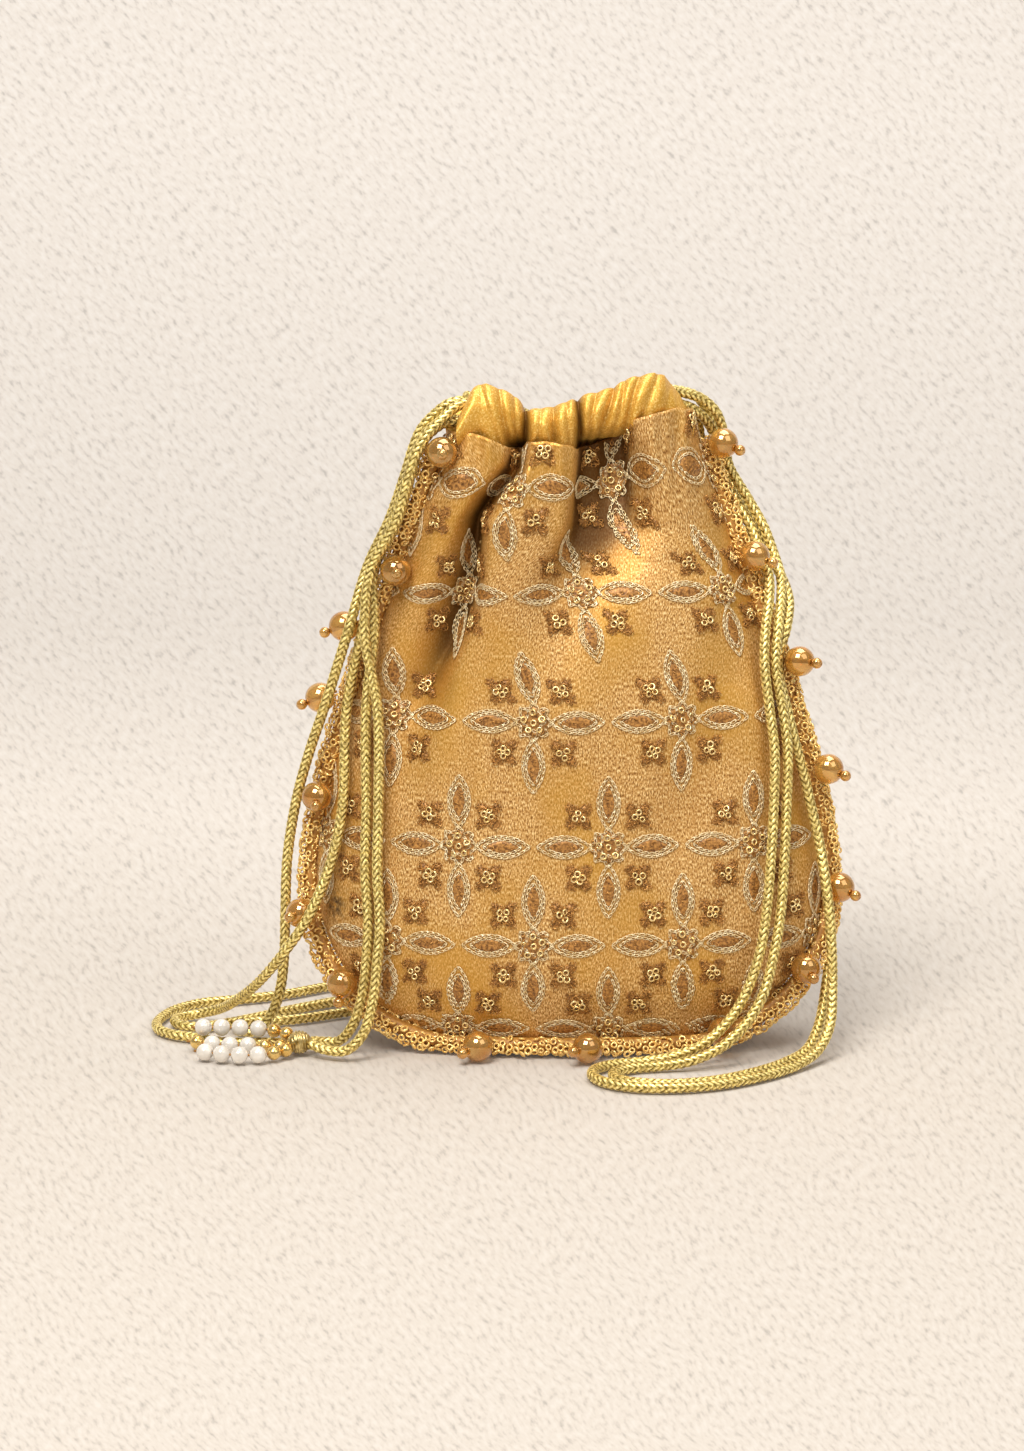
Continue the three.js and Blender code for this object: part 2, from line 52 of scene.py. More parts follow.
BODY = "root"

Point = tuple[float, float, float]
Colour = tuple[float, float, float]


def smooth_step(value: np.ndarray, low: float, high: float) -> np.ndarray:
    """Rise smoothly from 0 at low to 1 at high."""
    share = np.clip((np.asarray(value, float) - low) / (high - low), 0.0, 1.0)
    return share * share * (3.0 - 2.0 * share)


def run_along(points: np.ndarray, axis: int = 0) -> np.ndarray:
    """Measure lines of points from their first points.

    Args:
        points: Points, with the coordinates last.
        axis: Which index runs along a line.

    Returns:
        Distance of each point along its line.
    """
    steps = np.linalg.norm(np.diff(points, axis=axis), axis=-1)
    return np.insert(np.cumsum(steps, axis=axis), 0, 0.0, axis=axis)


def unit(vectors: np.ndarray) -> np.ndarray:
    """Give vectors a length of 1."""
    return vectors / np.linalg.norm(vectors, axis=-1, keepdims=True)


def full_turn(count: int) -> np.ndarray:
    """Angles at even steps round a circle."""
    return np.linspace(0, 2 * math.pi, count, endpoint=False)


def round_middle(reach: float | np.ndarray, turn: np.ndarray) -> np.ndarray:
    """Flat points that lie at a reach from the middle, at each angle."""
    return np.stack([reach * np.cos(turn), reach * np.sin(turn)], axis=1)


def cubic_through(knots: np.ndarray, values: np.ndarray, where: np.ndarray) -> np.ndarray:
    """Read a smooth curve that passes through a table.

    Args:
        knots: Rising places of the table's rows.
        values: One row of values for each knot.
        where: Places to read, held inside the table.

    Returns:
        One row of values for each place.
    """
    slopes = np.gradient(values, knots, axis=0)
    where = np.clip(where, knots[0], knots[-1])
    left = np.clip(np.searchsorted(knots, where, side="right") - 1, 0, len(knots) - 2)
    span = (knots[left + 1] - knots[left])[:, None]
    t = ((where - knots[left]) / span[:, 0])[:, None]
    h00 = (1 + 2 * t) * (1 - t) ** 2
    h10 = t * (1 - t) ** 2
    h01 = t * t * (3 - 2 * t)
    h11 = t * t * (t - 1)
    return (h00 * values[left] + h10 * span * slopes[left]
            + h01 * values[left + 1] + h11 * span * slopes[left + 1])


def smooth_route(points: list[Point], step: float) -> np.ndarray:
    """Lay a smooth line through given points.

    Args:
        points: The points, in order.
        step: Distance between the points of the result.

    Returns:
        Evenly spaced points along the line.
    """
    knots = np.array(points, float)
    knots = np.vstack([2 * knots[0] - knots[1], knots, 2 * knots[-1] - knots[-2]])
    line = []
    t = np.linspace(0, 1, 24, endpoint=False)[:, None]
    for p0, p1, p2, p3 in zip(knots, knots[1:], knots[2:], knots[3:]):
        pairs = ((p0, p1), (p1, p2), (p2, p3))
        d0, d1, d2 = (max(np.linalg.norm(b - a) ** 0.5, 1e-6) for a, b in pairs)
        m1 = ((p1 - p0) / d0 - (p2 - p0) / (d0 + d1) + (p2 - p1) / d1) * d1
        m2 = ((p2 - p1) / d1 - (p3 - p1) / (d1 + d2) + (p3 - p2) / d2) * d1
        line.append((2 * t ** 3 - 3 * t ** 2 + 1) * p1 + (t ** 3 - 2 * t ** 2 + t) * m1
                    + (3 * t ** 2 - 2 * t ** 3) * p2 + (t ** 3 - t ** 2) * m2)
    fine = np.vstack(line + [knots[-2][None]])
    run = run_along(fine)
    count = max(int(round(run[-1] / step)), 2)
    places = np.linspace(0, run[-1], count + 1)
    return np.stack([np.interp(places, run, fine[:, k]) for k in range(3)], axis=1)


def carried_frames(line: np.ndarray) -> tuple[np.ndarray, np.ndarray, np.ndarray]:
    """Carry a pair of side directions along a line without twist.

    Args:
        line: Points of the line.

    Returns:
        Unit tangents, and two unit side directions for each point.
    """
    tangents = unit(np.gradient(line, axis=0))
    start = np.array([0.0, -1.0, 0.0])
    if abs(tangents[0] @ start) > 0.9:
        start = np.array([0.0, 0.0, 1.0])
    sides = np.zeros_like(line)
    side = start - tangents[0] * (start @ tangents[0])
    for i, tangent in enumerate(tangents):
        side = unit(side - tangent * (side @ tangent))
        sides[i] = side
    return tangents, sides, np.cross(tangents, sides)


def grid_faces(rows: int, columns: int, wrap: bool = False) -> list[tuple[int, int, int, int]]:
    """Quads of a grid whose points run row by row.

    Args:
        rows: Number of rows of points.
        columns: Number of points in a row.
        wrap: Whether the last column meets the first.

    Returns:
        Corner numbers of each quad.
    """
    across = columns if wrap else columns - 1
    return [(i * columns + j, i * columns + (j + 1) % columns,
             (i + 1) * columns + (j + 1) % columns, (i + 1) * columns + j)
            for i in range(rows - 1) for j in range(across)]


def capped_faces(rings: int, sides: int) -> list[tuple[int, ...]]:
    """Faces of a tube whose points run ring by ring, closed at both ends.

    Args:
        rings: Number of rings.
        sides: Number of points in a ring.

    Returns:
        Corner numbers of each face, turned outward.
    """
    caps = [tuple(range(sides))[::-1], tuple(range((rings - 1) * sides, rings * sides))]
    return grid_faces(rings, sides, wrap=True) + caps


def add_object(name: str, data: bpy.types.ID) -> bpy.types.Object:
    """Add an object to the scene."""
    made = bpy.data.objects.new(name, data)
    bpy.context.scene.collection.objects.link(made)
    return made


def write_points(mesh: bpy.types.Mesh, label: str, values: np.ndarray) -> None:
    """Keep a number or a direction at each point of a mesh.

    Args:
        mesh: The mesh.
        label: Name that the finish or the tree reads.
        values: One number or one direction for each point.
    """
    values = np.asarray(values, np.float32)
    kind, part = ("FLOAT", "value") if values.ndim == 1 else ("FLOAT_VECTOR", "vector")
    mesh.attributes.new(label, kind, "POINT").data.foreach_set(part, values.ravel())


def add_wall(piece: bpy.types.Object, thickness: float) -> None:
    """Give a sheet its thickness, inward from its outer face."""
    wall = piece.modifiers.new("wall", "SOLIDIFY")
    wall.thickness = thickness * MM
    wall.offset = -1.0


def make_piece(name: str, points: np.ndarray, faces: list, finish: bpy.types.Material,
               uv: np.ndarray | None = None) -> bpy.types.Object:
    """Make one object of the pouch from points in millimetres.

    Args:
        name: The object's name.
        points: Corner places.
        faces: Corner numbers of each face.
        finish: The material of the whole piece.
        uv: Flat place of each corner, if the finish follows the surface.

    Returns:
        The linked object, smooth shaded.
    """
    mesh = bpy.data.meshes.new(name)
    mesh.from_pydata((np.asarray(points) * MM).tolist(), [], [tuple(f) for f in faces])
    mesh.materials.append(finish)
    mesh.polygons.foreach_set("use_smooth", [True] * len(mesh.polygons))
    if uv is not None:
        layer = mesh.uv_layers.new(name="flat")
        corners = np.zeros(len(mesh.loops), np.int32)
        mesh.loops.foreach_get("vertex_index", corners)
        layer.data.foreach_set("uv", np.asarray(uv, np.float32)[corners].ravel())
    mesh.validate()
    mesh.update()
    return add_object(name, mesh)


def seat(piece: bpy.types.Object, slot: str, *nodes: str) -> bpy.types.Object:
    """Fix a finished piece to the pouch.

    Args:
        piece: The piece.
        slot: Name of its material slot; not used.
        nodes: Solids that it stands for.

    Returns:
        The same piece.
    """
    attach(piece, BODY)
    if nodes:
        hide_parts(*nodes)
    LOG.info("%s: %d faces", piece.name, len(piece.data.polygons))
    return piece


def set_plain(piece: bpy.types.Object) -> bpy.types.Object:
    """Turn what a piece's modifiers make into its own plain mesh."""
    seen = piece.evaluated_get(bpy.context.evaluated_depsgraph_get())
    mesh = bpy.data.meshes.new_from_object(seen)
    piece.modifiers.clear()
    piece.data = mesh
    return piece


def grey(level: float) -> Colour:
    """A colour whose three parts are alike."""
    return (level, level, level)


class Finish:
    """Base of every finish: one material and a few helpers that add its nodes."""

    def __init__(self, name: str) -> None:
        """Start a material with one surface shader."""
        self.material = bpy.data.materials.new(name)
        self.material.use_nodes = True
        self.tree = self.material.node_tree
        self.shader = self.tree.nodes["Principled BSDF"]

    def set(self, **values: object) -> None:
        """Set constant values on the surface shader, by socket name with underscores."""
        for key, value in values.items():
            self.shader.inputs[key.replace("_", " ")].default_value = value

    def node(self, kind: str, **settings: object) -> bpy.types.Node:
        """Add a node and set its plain properties."""
        made = self.tree.nodes.new(kind)
        for key, value in settings.items():
            setattr(made, key, value)
        return made

    def link(self, source: bpy.types.NodeSocket, target: bpy.types.NodeSocket) -> None:
        """Join two sockets."""
        self.tree.links.new(source, target)

    def paint(self, colour: bpy.types.NodeSocket) -> None:
        """Give the surface its colour."""
        self.link(colour, self.shader.inputs["Base Color"])

    def stored(self, label: str) -> bpy.types.NodeSocket:
        """Numbers kept at the piece's points."""
        return self.node("ShaderNodeAttribute", attribute_name=label).outputs["Fac"]

    def flat_map(self) -> bpy.types.NodeSocket:
        """Places on the piece's flat map."""
        return self.node("ShaderNodeUVMap", uv_map="flat").outputs["UV"]

    def flat_height(self) -> bpy.types.NodeSocket:
        """How high a place lies on the piece's flat map."""
        parts = self.node("ShaderNodeSeparateXYZ")
        self.link(self.flat_map(), parts.inputs[0])
        return parts.outputs["Y"]

    def coords(self, flat: bool, scale: Point = (1.0, 1.0, 1.0)) -> bpy.types.NodeSocket:
        """Places on the piece, from its flat map or from the object itself.

        Args:
            flat: Whether to read the piece's flat map.
            scale: Stretch along each direction.

        Returns:
            The vector output.
        """
        source = self.flat_map() if flat else self.node("ShaderNodeTexCoord").outputs["Object"]
        mapping = self.node("ShaderNodeMapping")
        mapping.inputs["Scale"].default_value = scale
        self.link(source, mapping.inputs["Vector"])
        return mapping.outputs["Vector"]

    def noise(self, place: bpy.types.NodeSocket, scale: float, detail: float) -> bpy.types.NodeSocket:
        """Cloudy values at a place."""
        made = self.node("ShaderNodeTexNoise")
        made.inputs["Scale"].default_value = scale
        made.inputs["Detail"].default_value = detail
        self.link(place, made.inputs["Vector"])
        return made.outputs["Fac"]

    def ramp(self, value: bpy.types.NodeSocket, stops: list[tuple[float, Colour]]) -> bpy.types.NodeSocket:
        """Turn values into colours."""
        made = self.node("ShaderNodeValToRGB")
        bar = made.color_ramp.elements
        while len(bar) < len(stops):
            bar.new(0.5)
        for stop, (where, colour) in zip(bar, stops):
            stop.position = where
            stop.color = (*colour, 1.0)
        self.link(value, made.inputs["Fac"])
        return made.outputs["Color"]

    def mix(self, share: bpy.types.NodeSocket | float, first: bpy.types.NodeSocket,
            second: bpy.types.NodeSocket | Colour, blend: str = "MIX") -> bpy.types.NodeSocket:
        """Blend two colours by a share."""
        made = self.node("ShaderNodeMix", data_type="RGBA", blend_type=blend)
        if isinstance(share, float):
            made.inputs[0].default_value = share
        else:
            self.link(share, made.inputs[0])
        self.link(first, made.inputs[6])
        if isinstance(second, tuple):
            made.inputs[7].default_value = (*second, 1.0)
        else:
            self.link(second, made.inputs[7])
        return made.outputs[2]

    def math(self, kind: str, *values: bpy.types.NodeSocket | float) -> bpy.types.NodeSocket:
        """One step of arithmetic."""
        made = self.node("ShaderNodeMath", operation=kind)
        for socket, value in zip(made.inputs, values):
            if isinstance(value, float):
                socket.default_value = value
            else:
                self.link(value, socket)
        return made.outputs[0]

    def bump(self, height: bpy.types.NodeSocket, strength: float, distance: float) -> None:
        """Raise fine relief on the surface."""
        made = self.node("ShaderNodeBump")
        made.inputs["Strength"].default_value = strength
        made.inputs["Distance"].default_value = distance
        self.link(height, made.inputs["Height"])
        self.link(made.outputs["Normal"], self.shader.inputs["Normal"])


class TissueFinish(Finish):
    """Tan tissue cloth woven with gold metal threads."""

    def __init__(self) -> None:
        """Weave fine slubs and metal glints, lay broad gold patches that are more metallic and carry a painted
        sheen, and paint shade and a golden bounce light into the fold creases.
        """
        super().__init__("tan_gold_tissue")
        slub = self.noise(self.coords(True, (1.0, 0.42, 1.0)), 2500.0, 2.0)
        streak = self.noise(self.coords(True, (1.0, 0.05, 1.0)), 330.0, 3.0)
        patch = self.noise(self.coords(True, (1.0, 0.75, 1.0)), 27.0, 3.0)
        glint = self.noise(self.coords(True, (1.0, 0.6, 1.0)), 3000.0, 1.0)
        weave = self.ramp(slub, [(0.35, (0.16, 0.06, 0.011)), (0.45, (0.52, 0.285, 0.088)),
                                 (0.55, (0.68, 0.40, 0.138)), (0.63, (1.0, 0.77, 0.38))])
        drawn = self.mix(self.math("MULTIPLY", streak, 0.5), weave, (0.36, 0.165, 0.042))
        # partly painted sheen: broad random patches shift the colour to a warmer gold, standing in for light
        # caught by the folds; the same patches also really raise the metal share
        shine = self.ramp(patch, [(0.44, grey(0.0)), (0.64, grey(1.0))])
        warm = self.mix(self.math("MULTIPLY", shine, 0.62), drawn, (0.66, 0.345, 0.05))
        # painted shade: the cloth is darkened by how deep it lies in a fold, with a painted golden bounce light
        # in shallow creases and painted dark shade in deep ones
        crease_shade = self.stored("crease_shade")
        glow = self.ramp(crease_shade, [(0.25, (0.42, 0.18, 0.022)), (0.85, (0.07, 0.023, 0.003))])
        folded = self.mix(self.math("MULTIPLY", crease_shade, 0.9), warm, glow)
        # a small dark spot low on the left of the front, broken up by clouds
        soil = self.stored("soil")
        cloud = self.ramp(self.noise(self.coords(True), 420.0, 3.0), [(0.38, grey(0.1)), (0.58, grey(1.0))])
        self.paint(self.mix(self.math("MULTIPLY", soil, cloud), folded, (0.045, 0.032, 0.024)))
        self.link(self.math("MULTIPLY_ADD", shine, 0.3, 0.3), self.shader.inputs["Metallic"])
        self.link(self.math("MULTIPLY_ADD", glint, -0.4, 0.68), self.shader.inputs["Roughness"])
        self.bump(self.math("ADD", slub, glint), 0.2, 0.00015)
        self.set(Specular_IOR_Level=0.2)


class CasingFinish(Finish):
    """Bright gold satin tissue."""

    def __init__(self) -> None:
        """Lay fine threads over soft colour patches, and paint shade into the valleys between the ruffles."""
        super().__init__("bright_gold_casing")
        thread = self.noise(self.coords(False), 1900.0, 2.0)
        patch = self.noise(self.coords(False), 70.0, 3.0)
        colour = self.ramp(thread, [(0.34, (0.58, 0.29, 0.035)), (0.54, (0.76, 0.43, 0.07)),
                                    (0.68, (1.0, 0.74, 0.26))])
        warm = self.mix(self.math("MULTIPLY", patch, 0.5), colour, (0.60, 0.30, 0.03))
        # painted shade: the sleeve is darkened in the deep valleys between its ruffles
        crease_shade = self.stored("crease_shade")
        self.paint(self.mix(self.math("MULTIPLY", crease_shade, 0.85), warm, (0.13, 0.05, 0.006)))
        self.bump(thread, 0.12, 0.00015)
        self.set(Metallic=0.38, Roughness=0.4)


class LiningFinish(Finish):
    """Thin plain lining."""

    def __init__(self) -> None:
        """Weave plain threads."""
        super().__init__("plain_lining")
        weave = self.noise(self.coords(False, (1.0, 1.0, 0.2)), 900.0, 3.0)
        self.paint(self.ramp(weave, [(0.3, (0.42, 0.26, 0.09)), (0.7, (0.60, 0.41, 0.17))]))
        self.bump(weave, 0.2, 0.0002)
        self.set(Roughness=0.75, Metallic=0.1)


@dataclass(frozen=True)
class ThreadLook:
    """Colours and gloss of a thread, bead or metal finish."""

    name: str
    dark: Colour
    light: Colour
    metal: float
    rough: float
    grain: float = 900.0
    relief: float = 0.2
    coat: float = 0.0


class SpeckledFinish(Finish):
    """A finish whose colour runs between two tones in a fine grain."""

    def __init__(self, look: ThreadLook) -> None:
        """Mix the two tones.

        Args:
            look: Colours and gloss.
        """
        super().__init__(look.name)
        grain = self.noise(self.coords(False), look.grain, 3.0)
        self.paint(self.ramp(grain, [(0.32, look.dark), (0.68, look.light)]))
        if look.relief > 0:
            self.bump(grain, look.relief, 0.0002)
        self.set(Metallic=look.metal, Roughness=look.rough, Coat_Weight=look.coat)


class BraidFinish(Finish):
    """Olive-gold metallic plait, with painted shade between its ribs and a painted highlight on their tops."""

    def __init__(self) -> None:
        """Read how high each point of the plait stands, and paint shade into the grooves and a highlight onto the
        ribs.
        """
        super().__init__("olive_gold_braid")
        grain = self.noise(self.coords(False), 1400.0, 3.0)
        # painted shade in the plait's grooves and painted highlight on its rib tops, read from how high each
        # point stands
        tone = self.ramp(self.flat_height(), [(0.2, (0.10, 0.062, 0.008)), (0.54, (0.52, 0.385, 0.10)),
                                              (0.94, (0.92, 0.77, 0.33))])
        yarn = self.ramp(grain, [(0.34, (0.62, 0.56, 0.46)), (0.5, (1.06, 1.04, 1.0)),
                                 (0.64, (1.75, 1.75, 1.8))])
        self.paint(self.mix(1.0, tone, yarn, "MULTIPLY"))
        self.bump(grain, 0.3, 0.0002)
        self.set(Metallic=0.5, Roughness=0.34)


class GlassFinish(Finish):
    """Champagne translucent bead."""

    def __init__(self) -> None:
        """Tint clear glass with faint clouds."""
        super().__init__("champagne_glass")
        cloud = self.noise(self.coords(False), 220.0, 3.0)
        self.paint(self.ramp(cloud, [(0.3, (0.72, 0.34, 0.05)), (0.7, (0.98, 0.62, 0.17))]))
        self.set(Roughness=0.05, Metallic=0.3, IOR=1.5, Transmission_Weight=0.75, Coat_Weight=1.0,
                 Coat_Roughness=0.03)


class PearlFinish(Finish):
    """White imitation pearl with a soft lustre."""

    def __init__(self) -> None:
        """Cloud the white faintly and coat it."""
        super().__init__("white_pearl")
        cloud = self.noise(self.coords(False), 300.0, 2.0)
        self.paint(self.ramp(cloud, [(0.3, (0.65, 0.61, 0.55)), (0.7, (0.79, 0.75, 0.69))]))
        self.set(Roughness=0.2, Metallic=0.1, Coat_Weight=1.0, Coat_Roughness=0.04, Subsurface_Weight=0.05,
                 Subsurface_Radius=(0.002, 0.0018, 0.0015))


class PlasterFinish(Finish):
    """Pale cream plaster of the floor and the wall, shown evenly bright with the pouch's soft shadow kept."""

    def __init__(self) -> None:
        """Stipple the plaster, and let the camera see it partly lit by itself."""
        super().__init__("cream_plaster")
        place = self.coords(True, (2.1, 1.0, 1.0))
        place.node.vector_type = "TEXTURE"
        place.node.inputs["Rotation"].default_value = (0.0, 0.0, -0.85)
        dents = self.noise(place, 225.0, 4.0)
        tone = self.ramp(dents, [(0.27, (0.66, 0.61, 0.555)), (0.39, (0.83, 0.76, 0.69)),
                                 (0.46, (0.905, 0.83, 0.75)), (0.68, (0.97, 0.905, 0.835))])
        self.paint(self.mix(1.0, tone, grey(0.8), "MULTIPLY"))
        self.set(Roughness=0.95, Specular_IOR_Level=0.1)
        rays = self.node("ShaderNodeLightPath").outputs
        seen = self.math("ADD", self.math("ADD", rays["Is Camera Ray"], rays["Is Glossy Ray"]),
                         rays["Is Transmission Ray"])
        height = self.math("MULTIPLY_ADD", self.flat_height(), 0.714, 0.5)
        even = self.ramp(height, [(0.28, grey(0.3)), (0.6, grey(0.5))])
        share = self.math("MULTIPLY", self.math("MINIMUM", seen, 1.0), even)
        level = self.ramp(height, [(0.28, grey(0.16)), (0.44, grey(0.92)), (0.92, grey(1.28))])
        glow = self.node("ShaderNodeEmission")
        self.link(tone, glow.inputs["Color"])
        self.link(level, glow.inputs["Strength"])
        both = self.node("ShaderNodeMixShader")
        self.link(share, both.inputs[0])
        self.link(self.shader.outputs[0], both.inputs[1])
        self.link(glow.outputs[0], both.inputs[2])
        self.link(both.outputs[0], self.tree.nodes["Material Output"].inputs["Surface"])


CHAIN_THREAD = ThreadLook("silver_gold_chain_thread", (0.62, 0.43, 0.18), (1.0, 0.88, 0.60), 0.35, 0.28)
FILL_THREAD = ThreadLook("brown_fill_thread", (0.13, 0.048, 0.008), (0.58, 0.28, 0.07), 0.25, 0.42, 1300.0, 0.6)
LOOP_THREAD = ThreadLook("brown_loop_thread", (0.22, 0.09, 0.016), (0.62, 0.31, 0.08), 0.4, 0.34)
GOLD_RING = ThreadLook("gold_ring", (0.78, 0.50, 0.16), (1.0, 0.82, 0.44), 0.65, 0.2)
AMBER_SEED = ThreadLook("amber_seed", (0.88, 0.50, 0.11), (1.0, 0.79, 0.34), 0.35, 0.16)
AMBER_THREAD = ThreadLook("amber_thread", (0.27, 0.11, 0.015), (0.50, 0.24, 0.045), 0.1, 0.5)
GOLD_BEAD = ThreadLook("gold_bead", (0.74, 0.47, 0.13), (0.95, 0.72, 0.30), 0.85, 0.16, 300.0, 0.0)
WRAPPED_KNOB = ThreadLook("olive_gold_knob", (0.24, 0.15, 0.03), (0.86, 0.68, 0.30), 0.7, 0.25, 520.0, 0.8)


class Finishes:
    """Every finish of the pouch, made once."""

    def __init__(self) -> None:
        """Make the materials in order."""
        self.tissue = TissueFinish().material
        self.casing = CasingFinish().material
        self.lining = LiningFinish().material
        self.braid = BraidFinish().material
        self.glass = GlassFinish().material
        self.pearl = PearlFinish().material
        self.chain = SpeckledFinish(CHAIN_THREAD).material
        self.fill = SpeckledFinish(FILL_THREAD).material
        self.loop = SpeckledFinish(LOOP_THREAD).material
        self.ring = SpeckledFinish(GOLD_RING).material
        self.seed = SpeckledFinish(AMBER_SEED).material
        self.core = SpeckledFinish(AMBER_THREAD).material
        self.gold = SpeckledFinish(GOLD_BEAD).material
        self.knob = SpeckledFinish(WRAPPED_KNOB).material


@dataclass
class PouchForm:
    """The bag's form: level sections up the bag, folds and the turn of the neck, in millimetres."""

    height: float = 193.0
    half_width: float = 79.5
    front_depth: float = 30.0
    back_depth: float = 45.0
    neck_turn: float = math.radians(18)
    turn_start: float = 0.55
    table: np.ndarray = field(default_factory=lambda: np.array([
        [0.0, 0.4, 0.17, 0.87, -18], [0.022, 0.555, 0.3, 0.93, -17], [0.052, 0.705, 0.46, 0.98, -15],
        [0.104, 0.85, 0.7, 0.99, -12], [0.176, 0.955, 0.9, 0.92, -8], [0.27, 1.0, 1.0, 0.82, -3],
        [0.394, 0.956, 0.97, 0.73, 0], [0.528, 0.867, 0.87, 0.63, 0], [0.663, 0.759, 0.73, 0.52, 0],
        [0.788, 0.66, 0.62, 0.43, 0], [0.891, 0.585, 0.55, 0.38, 0], [1.0, 0.497, 0.535, 0.356, 0],
        [1.1, 0.465, 0.535, 0.356, 0]]))

    def sections(self, z: np.ndarray) -> np.ndarray:
        """Half width, front depth, back depth and seam place at each height."""
        rows = cubic_through(self.table[:, 0], self.table[:, 1:], np.asarray(z, float) / self.height)
        return rows * np.array([self.half_width, self.front_depth, self.back_depth, 1.0])

    def turn(self, z: np.ndarray) -> np.ndarray:
        """Turn of the cloth about the upright at each height."""
        return self.neck_turn * smooth_step(np.asarray(z) / self.height, self.turn_start, 1.0)

    def turned(self, x: np.ndarray, y: np.ndarray, z: np.ndarray) -> tuple[np.ndarray, np.ndarray]:
        """Turn level places by the neck's turn."""
        a = self.turn(z)
        return x * np.cos(a) - y * np.sin(a), x * np.sin(a) + y * np.cos(a)


@dataclass(frozen=True)
class Fold:
    """One fold of the cloth.

    Each row gives a height, the fold's left and right edges, how softly the cloth turns at each edge,
    and how deep the fold is there; a minus depth stands out.
    """

    rows: tuple[tuple[float, float, float, float, float, float], ...]

    def depth_at(self, x: np.ndarray, z: np.ndarray) -> np.ndarray:
        """How far the cloth is pushed in at each place."""
        table = np.array(self.rows)
        left, right, left_soft, right_soft, depth = (
            np.interp(z, table[:, 0], table[:, k]) for k in range(1, 6))
        rise = 1.0 / (1.0 + np.exp(np.clip((left - x) / left_soft, -40, 40)))
        fall = 1.0 / (1.0 + np.exp(np.clip((x - right) / right_soft, -40, 40)))
        return depth * rise * fall


class Side(Enum):
    """The two halves of the bag."""

    FRONT = -1
    BACK = 1


FOLDS = {Side.FRONT: (
    Fold(((78, -60, -47, 6, 3.5, 0), (94, -60, -44, 5.5, 2.6, 3.4), (108, -58, -41, 5, 2.0, 6.4),
          (119, -47.5, -38, 4.6, 1.2, 9.8), (127, -43, -34, 4.2, 0.9, 11.6),
          (137, -38.5, -30, 3.8, 0.7, 13.0), (147, -35.5, -27.6, 3.2, 0.6, 13.6),
          (160, -32.4, -27, 2.0, 0.5, 13.0), (166, -31, -26.6, 1.6, 0.5, 12.6),
          (174, -26.6, -21.8, 1.3, 0.5, 11.6), (186, -18.9, -14.7, 1.1, 0.5, 10.6),
          (193, -17.6, -13.5, 1.0, 0.5, 9.6), (210, -17.6, -13.5, 1.0, 0.5, 8))),
    Fold(((108, -15, -2, 6, 7, 0), (126, -13, 4, 5, 7, 2.0), (140, -11, 12, 3.6, 7, 4.2),
          (151, -7, 21, 2.0, 6, 7.0), (162, -0.4, 24, 0.8, 4.5, 10.4), (174, 1.0, 21.5, 0.5, 2.4, 12.4),
          (187, 2.0, 18.5, 0.45, 1.4, 12.8), (193, 2.2, 17.5, 0.45, 1.1, 12), (210, 2.2, 17.5, 0.5, 1.1, 9))),
    Fold(((130, -28, -10, 2, 3, 0), (148, -26.5, -8, 1.5, 2.5, -2.2), (165, -25, -0.5, 1.2, 1.2, -3.2),
          (187, -13, 2, 1, 0.8, -3.2), (210, -13, 2, 1, 0.8, -2))),
    Fold(((105, -60, -50, 3, 3, 0), (130, -57, -47, 3, 3, -1.6), (150, -53, -39.5, 3, 2.4, -3.0),
          (166, -49, -32, 3, 1.6, -3.4), (175, -46, -26.8, 3, 1.3, -3.4), (186, -42, -19.5, 3, 1.1, -2.8),
          (193, -40, -18.2, 3, 1.0, -2.4), (210, -40, -18, 3, 1.0, -1))),
    Fold(((118, 16, 40, 5, 5, 0), (145, 24, 51, 4, 4, -2.4), (165, 23, 48, 2.8, 3, -3.6),
          (187, 19, 44, 1.3, 3, -3.6), (193, 18.5, 44, 1.0, 3, -3.0), (210, 18.5, 44, 1.0, 3, -2))),
    Fold(((48, 64, 95, 2.5, 3, 0), (76, 62, 95, 1.8, 3, 1.4), (101, 60, 95, 1.4, 3, 1.8),
          (126, 57, 95, 1.3, 3, 1.8), (150, 52, 95, 1.6, 3, 1.4), (172, 46, 95, 2.5, 3, 0))),
    Fold(((40, -64, -44, 6, 5, 0), (62, -62, -44, 6, 5, 2.2), (80, -60, -43, 6, 4, 2.4),
          (100, -58, -42, 5, 4, 0))),
    Fold(((10, 2, 40, 8, 10, 0), (35, 4, 40, 8, 10, 1.6), (70, 8, 42, 8, 8, 2.0), (100, 14, 42, 6, 6, 0))),
    Fold(((66, 28, 46, 5, 7, 0), (90, 34, 50, 4, 6, 2.2), (115, 38, 53, 3.5, 5, 2.8), (140, 40, 54, 4, 5, 0))),
), Side.BACK: (
    Fold(((90, -30, -16, 4, 4, 0), (130, -24, -12, 3, 3, 3.5), (172, -19, -9, 2, 1.6, 5.5),
          (193, -17, -9, 1.5, 1.2, 5.5), (210, -17, -9, 1.5, 1.2, 5))),
    Fold(((85, 18, 34, 4, 4, 0), (130, 14, 27, 3, 3, 3.6), (172, 10, 21, 1.6, 2, 5.5),
          (193, 9, 18, 1.2, 1.5, 5.5), (210, 9, 18, 1.2, 1.5, 5))),
    Fold(((110, -8, 8, 3, 3, 0), (150, -8, 8, 3, 3, -1.6), (193, -7, 7, 2, 2, -1.6), (210, -7, 7, 2, 2, 0))),
)}
TOP_EDGES = {
    Side.FRONT: (
        (-42, 191.5), (-36, 192.5), (-30, 192.5), (-24, 190.5), (-18, 187.4), (-15, 187), (-13.5, 189.5),
        (-8, 190), (0, 188.4), (2, 186.6), (6, 187), (12, 189), (17, 191.5), (18.5, 195.2), (24, 197),
        (33, 198.6), (38, 197.5), (42, 195)),
    Side.BACK: ((-42, 192), (-25, 194), (-12, 190.5), (0, 193.5), (12, 190), (25, 194), (42, 193)),
}


